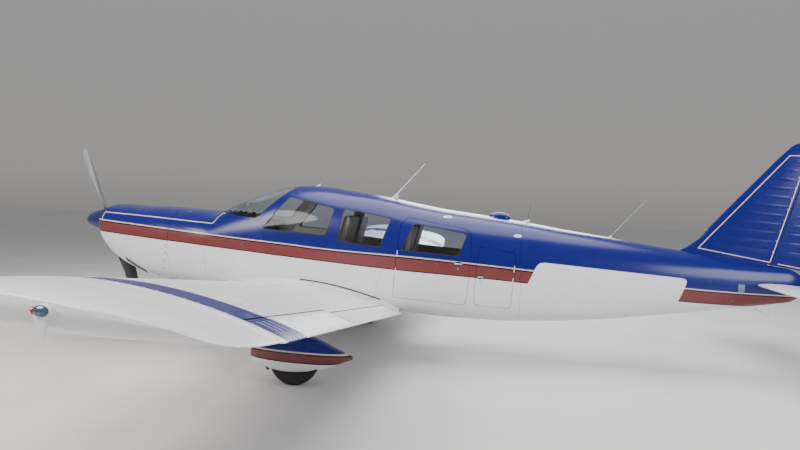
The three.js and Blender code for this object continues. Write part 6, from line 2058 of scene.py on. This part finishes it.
def roofFittings():
    foot, tipPoint = Vector((at(132.6), 0, 1.709)), Vector((at(146.3), 0, 2.099))
    along = tipPoint - foot
    path = [foot + along * k / 12 for k in range(13)]
    mast = tube("mast", path, [0.0085 - 0.0050 * k / 12 for k in range(13)], finishes["white"], sides=16)
    rings = []
    for z, ahead, behind, half in ((1.690, 0.030, 0.075, 0.016), (1.712, 0.026, 0.062, 0.014),
                                   (1.735, 0.018, 0.040, 0.0125), (1.762, 0.012, 0.018, 0.0105)):
        middle = foot.x + along.x * (z - foot.z) / along.z
        rings.append([Vector((middle + (behind if c > 0 else ahead) * c, half * s, z))
                      for c, s in circle(24)])
    place(joined("roofAntenna", mast, smooth(loft("plinth", rings, finishes["white"]), 50)), "airframe",
          "white_plastic", "roof_antenna")

    sections = [(174.2, 0.1), (174.5, 0.32), (175.2, 0.55), (176.0, 0.76), (177.0, 0.9), (178.2, 0.98),
                (179.5, 1), (181.0, 0.92), (182.0, 0.8), (183.0, 0.45), (183.7, 0.12)]
    rings = []
    for station, size in sections:
        ring = []
        for c, s in circle(40):
            ring.append(Vector((at(station), 0.062 * size ** 0.6 * c, 1.530 + 0.062 * size * s)))
        rings.append(ring)
    scoop = loft("roofScoop", rings, finishes["blue"])
    whole = copied(scoop, "wholeScoop")
    carve(scoop, bead("mouth", (at(174.6), 0, 1.566), (0.060, 0.040, 0.0135), finishes["black"]),
          hull("roof", at(165), at(188), 0.002, finishes["black"]))
    place(matchShading(scoop, whole), "airframe", "blue_paint", "roof_scoop")
    discard(whole)

    base = Vector((at(299.6), 0, 2.3933))
    lamp = [lathe("base", [(0.0128, 0), (0.0128, 0.0038), (0.0116, 0.0048)], base, (0, 0, 1),
                  finishes["white"], sides=32), lathe("lens", [(0.0110, 0.0040), (0.0113, 0.0055),
                                                               (0.0104, 0.0100), (0.0080, 0.0140),
                                                               (0.0045, 0.0163), (0.001, 0.0170)], base,
                                                      (0, 0, 1), finishes["redLens"], sides=32)]
    place(joined("finBeacon", *lamp), "airframe", "red_lens", "beacon")

    pieces = [bladeBase(at(190), 0.0, 0.085, 0.030, 0.030, finishes["white"]),
              whip("shortWhip", onTop(at(190.8), 0), (at(192.4), 0, 1.680), finishes["black"]),
              bladeBase(at(98.4), 0.0, 0.050, 0.022, 0.022, finishes["white"]),
              tube("post", [onTop(at(98.9), 0), (at(99.6), 0, 1.856)], [0.0055, 0.0038], finishes["white"],
                   sides=12)]
    for y, end in ((-0.045, (at(226.6), -0.050, 1.640)), (0.045, (at(239.9), 0.050, 1.769))):
        foot = onTop(at(225.3), y)
        pieces += [lathe("socket", [(0.011, -0.006), (0.011, 0.006), (0.006, 0.013), (0.004, 0.030)], foot,
                         Vector(end) - foot, finishes["white"], sides=16),
                   whip("whip", foot, end, finishes["steel"])]
    place(joined("roofWhips", *pieces), "airframe", "white_plastic")


def bodyFittings():
    studs = seamStuds(((37.7, 1.120), (37.4, 1.036), (36.6, 0.950), (35.4, 0.858)))
    place(heads("cowlFasteners", studs, 0.0085, 0.0085, 0.0022, finishes["fastener"], 14), "airframe",
          "white_paint")
    small = seamStuds(((35.7, 1.082), (15.3, 0.977), (9.9, 1.146), (47.5, 1.039)))
    place(heads("smallFasteners", small, 0.0055, 0.0055, 0.0016, finishes["fastener"], 12), "airframe",
          "white_paint")
    slots = [(point + normal * 0.0021, normal, (along + normal.cross(along)).normalized())
             for point, normal, along in studs]
    slots += [(point, normal, Vector((1, 0, 0))) for point, normal, _ in seamStuds(((50.5, 0.902),
                                                                                    (50.5, 0.852),
                                                                                    (50.5, 0.812)))]
    place(heads("fastenerSlots", slots, 0.0062, 0.0012, 0.0006, finishes["black"], 6), "airframe",
          "white_paint")

    bank = [(14.7, 0.908), (22.9, 0.764), (24.2, 0.806), (15.6, 0.962)]  # louvres beside the nose leg
    for side, word in bothSides:
        place(sidePatch(word + "LouvrePanel", bank, side, (-0.0022, 0.002), 6, finishes["navy"],
                        corner=0.012), "airframe", "white_paint")
        lip = [onSkin(at(14.8 + 8.1 * k / 12), 0.903 - 0.143 * k / 12, side, -0.002) for k in range(13)]
        place(tube(word + "LouvreLip", lip, 0.0045, finishes["body"], sides=8), "airframe", "white_paint")
    slats = seamStuds([(15.7 + k * 1.06, 0.929 - k * 0.0193) for k in range(8)])
    slats = [(point + normal * 0.002, normal, Vector((0.59, 0, 0.81))) for point, normal, _ in slats]
    place(heads("cowlLouvres", slats, 0.023, 0.0042, 0.0050, finishes["plate"], 12), "airframe",
          "white_paint")

    place(topPatch("oilDoor", at(47.35), -0.310, 0.116, 0.100, 0.0035, finishes["blue"]), "airframe",
          "blue_paint")
    latch = [(onTop(at(47.35) + dx, -0.310 + dy), topNormal(at(47.35) + dx, -0.310 + dy), Vector((1, 0, 0)))
             for dx, dy in ((0.088, 0), (-0.088, 0))]
    place(heads("oilDoorScrews", latch, 0.006, 0.006, 0.006, finishes["steel"], 12), "airframe", "blue_paint")

    for station, z, wide in ((158.2, 1.527, 0.050), (186.9, 1.355, 0.042)):
        for side, word in bothSides:
            bodyName = "rear_door" if side < 0 and station < 169 and z < 1.4 else "airframe"
            point, normal = onSide(station, z, side)
            out = facingOut(normal, (onSkin(point.x + 0.02, z, side) - point))
            vent = joined(word + "Vent" + str(int(station)), bead("rim", point, (wide, wide * 0.5, 0.0065),
                                                                  finishes["white"], facing=out),
                          bead("bowl", point + normal * 0.0030, (wide * 0.70, wide * 0.30, 0.0052),
                               finishes["clearLens"], facing=out))
            place(vent, bodyName, "white_plastic")

    place(slimHandle("rearDoorHandle", 163.5, 1.055, -1, 0.085, finishes["chrome"]), "rear_door",
          "gear_metal")
    place(slimHandle("frontDoorHandle", 107.5, 1.120, 1, 0.095, finishes["chrome"]), "front_door",
          "gear_metal")
    place(slimHandle("utilityDoorHandle", 172.4, 0.930, -1, 0.060, finishes["chrome"]), "utility_door",
          "gear_metal")
    place(slimHandle("baggageDoorHandle", 47.7, 0.965, 1, 0.060, finishes["chrome"]), "nose_baggage_door",
          "gear_metal")
    for key, bodyName in (("front", "front_door"), ("rear", "rear_door"), ("utility", "utility_door"),
                          ("baggage", "nose_baggage_door")):
        low, high = hingeEnds(doors[key])
        rods = []
        for share in doors[key]["knuckles"]:
            middle = low.lerp(high, share)
            along = (high - low).normalized()
            rods.append(lathe("knuckle", [(0.0030, -0.034), (0.0044, -0.033), (0.0044, 0.033),
                                          (0.0030, 0.034)], middle, along, finishes["white"], sides=16))
        place(joined(key + "Knuckles", *rods), bodyName, "gear_metal")

    corners = [(274.2, 0.853), (276.8, 0.851), (276.8, 0.938), (274.2, 0.940)]
    plate = sidePatch("dataPlate", corners, -1, (-0.0014, 0.0012), 5, finishes["plate"], corner=0.004)
    place(plate, "airframe", "gear_metal")
    screws = [(s + 0.35 if s < 275 else s - 0.35, z + 0.008 if z < 0.9 else z - 0.008) for s, z in corners]
    rivets = [(onSkin(at(s), z, -1, -0.0014), skinNormal(at(s), z, -1), Vector((1, 0, 0))) for s, z in screws]
    place(heads("dataPlateRivets", rivets, 0.0024, 0.0024, 0.001, finishes["steel"], 8), "airframe",
          "gear_metal")

    # painted shade: a thin dark line on the side skin stands for the shadow along a skin lap
    seamShadePath = [onSkin(at(133 - 3.5 * k / 10), 0.98 - 0.33 * k / 10, -1, -0.0002) for k in range(11)]
    place(tube("sideSeamShade", seamShadePath, 0.0011, finishes["seal"], sides=6), "airframe", "white_paint")

    loop = [(282.9, 0.690), (284.2, 0.660), (287.2, 0.612), (287.9, 0.606), (288.6, 0.610), (288.5, 0.640),
            (287.9, 0.690)]
    tieDown = tube("tailTieDown", [(at(s), 0, z) for s, z in loop], 0.0066, finishes["white"], sides=12)
    place(tieDown, "airframe", "gear_metal")


# Rivets, screws and fittings on the wings and tail
rivet = {"pitch": 0.034, "long": 0.0030, "height": 0.0011}


def rivetLines():
    spots = []
    for station in (188.5, 204, 220, 236, 252, 268):  # frames of the rear body
        _, bottom, top, *_ = bodyAt(at(station))
        for side in (-1, 1):
            for k in range(1, round((top - bottom) / rivet["pitch"])):
                z = bottom + 0.02 + k * rivet["pitch"]
                if z < top - 0.02:
                    spots.append((onSkin(at(station) + 0.008, z, side),
                                  skinNormal(at(station) + 0.008, z, side), Vector((0, 0, 1))))
    for share in (0.36, 0.70):  # stringers
        for k in range(round((at(272) - at(190)) / rivet["pitch"])):
            x = at(190) + k * rivet["pitch"]
            _, bottom, top, *_ = bodyAt(x)
            z = bottom + (top - bottom) * share
            spots += [(onSkin(x, z, side), skinNormal(x, z, side), Vector((1, 0, 0))) for side in (-1, 1)]
    for station in (39.6, 55.6):  # frames of the nose
        _, bottom, top, *_ = bodyAt(at(station))
        for side in (-1, 1):
            for k in range(1, round((top - bottom) / rivet["pitch"])):
                z = bottom + 0.03 + k * rivet["pitch"]
                if z < top - 0.04:
                    spots.append((onSkin(at(station), z, side), skinNormal(at(station), z, side),
                                  Vector((0, 0, 1))))
    place(heads("bodyRivets", spots, rivet["long"], rivet["long"], rivet["height"], finishes["body"], 6),
          "airframe", "white_paint")

    for side, word in bothSides:
        spots = []
        for above in (True, False):
            for c in (0.50, 0.98, 1.26):
                for k in range(round((3.60 - 0.16) / rivet["pitch"])):
                    point, normal, along = wingSurface(side, c, 0.16 + k * rivet["pitch"], above)
                    spots.append((point, normal, along))
            for j in range(10):
                for k in range(round((1.24 - 0.20) / rivet["pitch"])):
                    point, normal, along = wingSurface(side, 0.20 + k * rivet["pitch"], 0.30 + j * 0.365,
                                                       above)
                    spots.append((point, normal, along))
        place(heads(word + "WingRivets", spots, rivet["long"], rivet["long"], rivet["height"],
                    finishes["wing"], 6), "airframe", "white_paint")


def wingFittings():
    for side, word in bothSides:
        screws = []
        for k, (c, s) in enumerate(rootLine(side, [0.10 + 1.40 * k / 22 for k in range(23)])):
            point, normal, along = wingSurface(side, c, s + fairing["radius"] * 0.97)
            screws.append((point, normal, along))
            base = wingSurface(side, c, s)[0]
            screws.append((onSkin(base.x, base.z + fairing["radius"] * 0.94, side, -0.001),
                           skinNormal(base.x, base.z + 0.04, side), Vector((1, 0, 0))))
        for c in [0.06 + 1.2 * k / 16 for k in range(17)]:
            for above in (True, False):
                screws.append(wingSurface(side, c, 3.651, above))
        place(heads(word + "FairingScrews", screws, 0.0052, 0.0052, 0.0018, finishes["steel"], 10),
              "airframe", "gear_metal")
        slots = [(point + normal * 0.0016, normal, along) for point, normal, along in screws]
        place(heads(word + "ScrewSlots", slots, 0.0040, 0.0008, 0.0005, finishes["black"], 5), "airframe",
              "gear_metal")

        caps = []
        for c, s in ((0.36, 1.30), (0.34, 3.42)):
            point, normal, along = wingSurface(side, c, s)
            caps.append(lathe("capRing", [(0.036, -0.003), (0.048, -0.003), (0.048, 0.0012), (0.045, 0.0024),
                                          (0.037, 0.0020)], point, normal, finishes["white"], sides=40,
                              shut=True))
            caps.append(lathe("cap", [(0.036, -0.004), (0.036, 0.0022), (0.033, 0.0034), (0.010, 0.0040)],
                              point, normal, finishes["aluminium"], sides=40))
            caps.append(bead("tab", point + normal * 0.0040, (0.022, 0.006, 0.0035), finishes["steel"],
                             facing=facingOut(normal, along), rows=8))
        place(joined(word + "FuelCaps", *caps), "airframe", "gear_metal")

        below = []
        point, normal, along = wingSurface(side, 0.52, 2.55, False)
        ring = [point + normal * (0.002 + 0.016 * s) + along * 0.020 * c for c, s in circle(20)[:11]]
        below.append(tube("ring", ring, 0.0035, finishes["steel"], sides=10))
        for c in (0.40, 0.46):
            point, normal, along = wingSurface(side, c, 0.62, False)
            below.append(lathe("drain", [(0.008, -0.003), (0.008, 0.003), (0.004, 0.008)], point, normal,
                               finishes["steel"], sides=16))
        if side < 0:  # air data mast under the left wing
            point, normal, along = wingSurface(side, 0.62, 2.30, False)
            rings = []
            for drop, size in ((-0.004, 1.0), (0.02, 0.96), (0.06, 0.9), (0.094, 0.86), (0.100, 0.7)):
                middle = point + normal * drop - along * drop * 0.55
                rings.append([middle + along * 0.040 * size * c + Vector((0, 0.0085 * size * s, 0))
                              for c, s in circle(20)])
            below.append(smooth(loft("mast", rings, finishes["black"]), 50))
            tipMiddle = point + normal * 0.086 - along * 0.052
            below.append(lathe("probe", [(0.0035, 0), (0.0085, 0.008), (0.0085, 0.05)],
                               tipMiddle - along * 0.045, along, finishes["steel"], sides=20))
        place(joined(word + "WingUnderside", *below), "airframe", "gear_metal")
        tipLights(side, word)

    points, faces, lanes = [], [], 8
    for lift in (0.0012, -0.0010):
        for lane in range(lanes + 1):
            for k in range(25):
                point, normal, _ = wingSurface(1, 0.30 + 1.02 * k / 24, 0.115 + 0.315 * lane / lanes)
                points.append(point + normal * lift)
    layer = (lanes + 1) * 25
    for lane in range(lanes):
        for k in range(24):
            a = lane * 25 + k
            faces.append((a, a + 1, a + 26, a + 25))
            faces.append((layer + a, layer + a + 25, layer + a + 26, layer + a + 1))
    edge = list(range(25)) + [25 * j + 24 for j in range(1, lanes + 1)]
    edge += [25 * lanes + k for k in range(23, -1, -1)] + [25 * j for j in range(lanes - 1, 0, -1)]
    for a, b in zip(edge, edge[1:] + edge[:1]):
        faces.append((a, b, b + layer, a + layer))
    walkway = outward(meshObject("rightWalkway", points, faces, finishes["gripTape"]))
    place(walkway, "airframe", "carpet")


def tipLights(side, word):
    lens = finishes["redLens"] if side < 0 else finishes["greenLens"]
    parts = [bead("base", (-1.036, side * 4.9620, 1.182), (0.060, 0.0240, 0.034), finishes["white"]),
             bead("cover", (-1.046, side * 4.9700, 1.184), (0.046, 0.0220, 0.026), finishes["smokedLens"]),
             bead("lens", (-1.082, side * 4.9700, 1.184), (0.016, 0.0180, 0.017), lens)]
    place(joined(word + "TipLamp", *parts), "airframe", "red_lens" if side < 0 else "glazing")
    rings = []
    for z, front, rear, half in ((1.172, -1.090, -1.018, 0.0055), (1.155, -1.087, -1.022, 0.0050),
                                 (1.120, -1.073, -1.026, 0.0042), (1.092, -1.060, -1.031, 0.0034),
                                 (1.081, -1.053, -1.034, 0.0026), (1.077, -1.047, -1.038, 0.0012)):
        middle, reach = (front + rear) / 2, (rear - front) / 2
        rings.append([Vector((middle + reach * c, side * 4.966 + half * s, z)) for c, s in circle(20)])
    place(smooth(loft(word + "TipBlade", rings, finishes["white"]), 50), "airframe", "white_plastic")


def wingAndTailDetails():
    rivetLines()
    wingFittings()
    spots = []
    for side in (-1, 1):
        for k in range(12):  # above the tailplane
            x = at(255) + k * 0.045
            spots.append((onSkin(x, 1.03, side), skinNormal(x, 1.03, side), Vector((1, 0, 0))))
    place(heads("tailRivets", spots, 0.0034, 0.0034, 0.0013, finishes["body"], 8), "airframe", "white_paint")
    spots = []
    (s0, z0), (s1, z1) = livery["finLine"][3], livery["finLine"][2]
    for k in range(11):
        x, z = at(s0 + (s1 - s0) * k / 10) - 0.012, z0 + (z1 - z0) * k / 10
        spots += [(Vector((x, side * finSide(x, z), z)), Vector((0, side, 0)), Vector((0, 0, 1)))
                  for side in (-1, 1)]
    place(heads("finRivets", spots, 0.0042, 0.0042, 0.0016, finishes["white"], 8), "airframe", "white_paint")
    print("details made")


# The whole aeroplane
makeCamera()
makeStudio()
fuselage()
wings()
stabilator()
finAndRudder()
print("tail made")
undercarriage()
engineRoom()
interior()
roofFittings()
bodyFittings()
wingAndTailDetails()
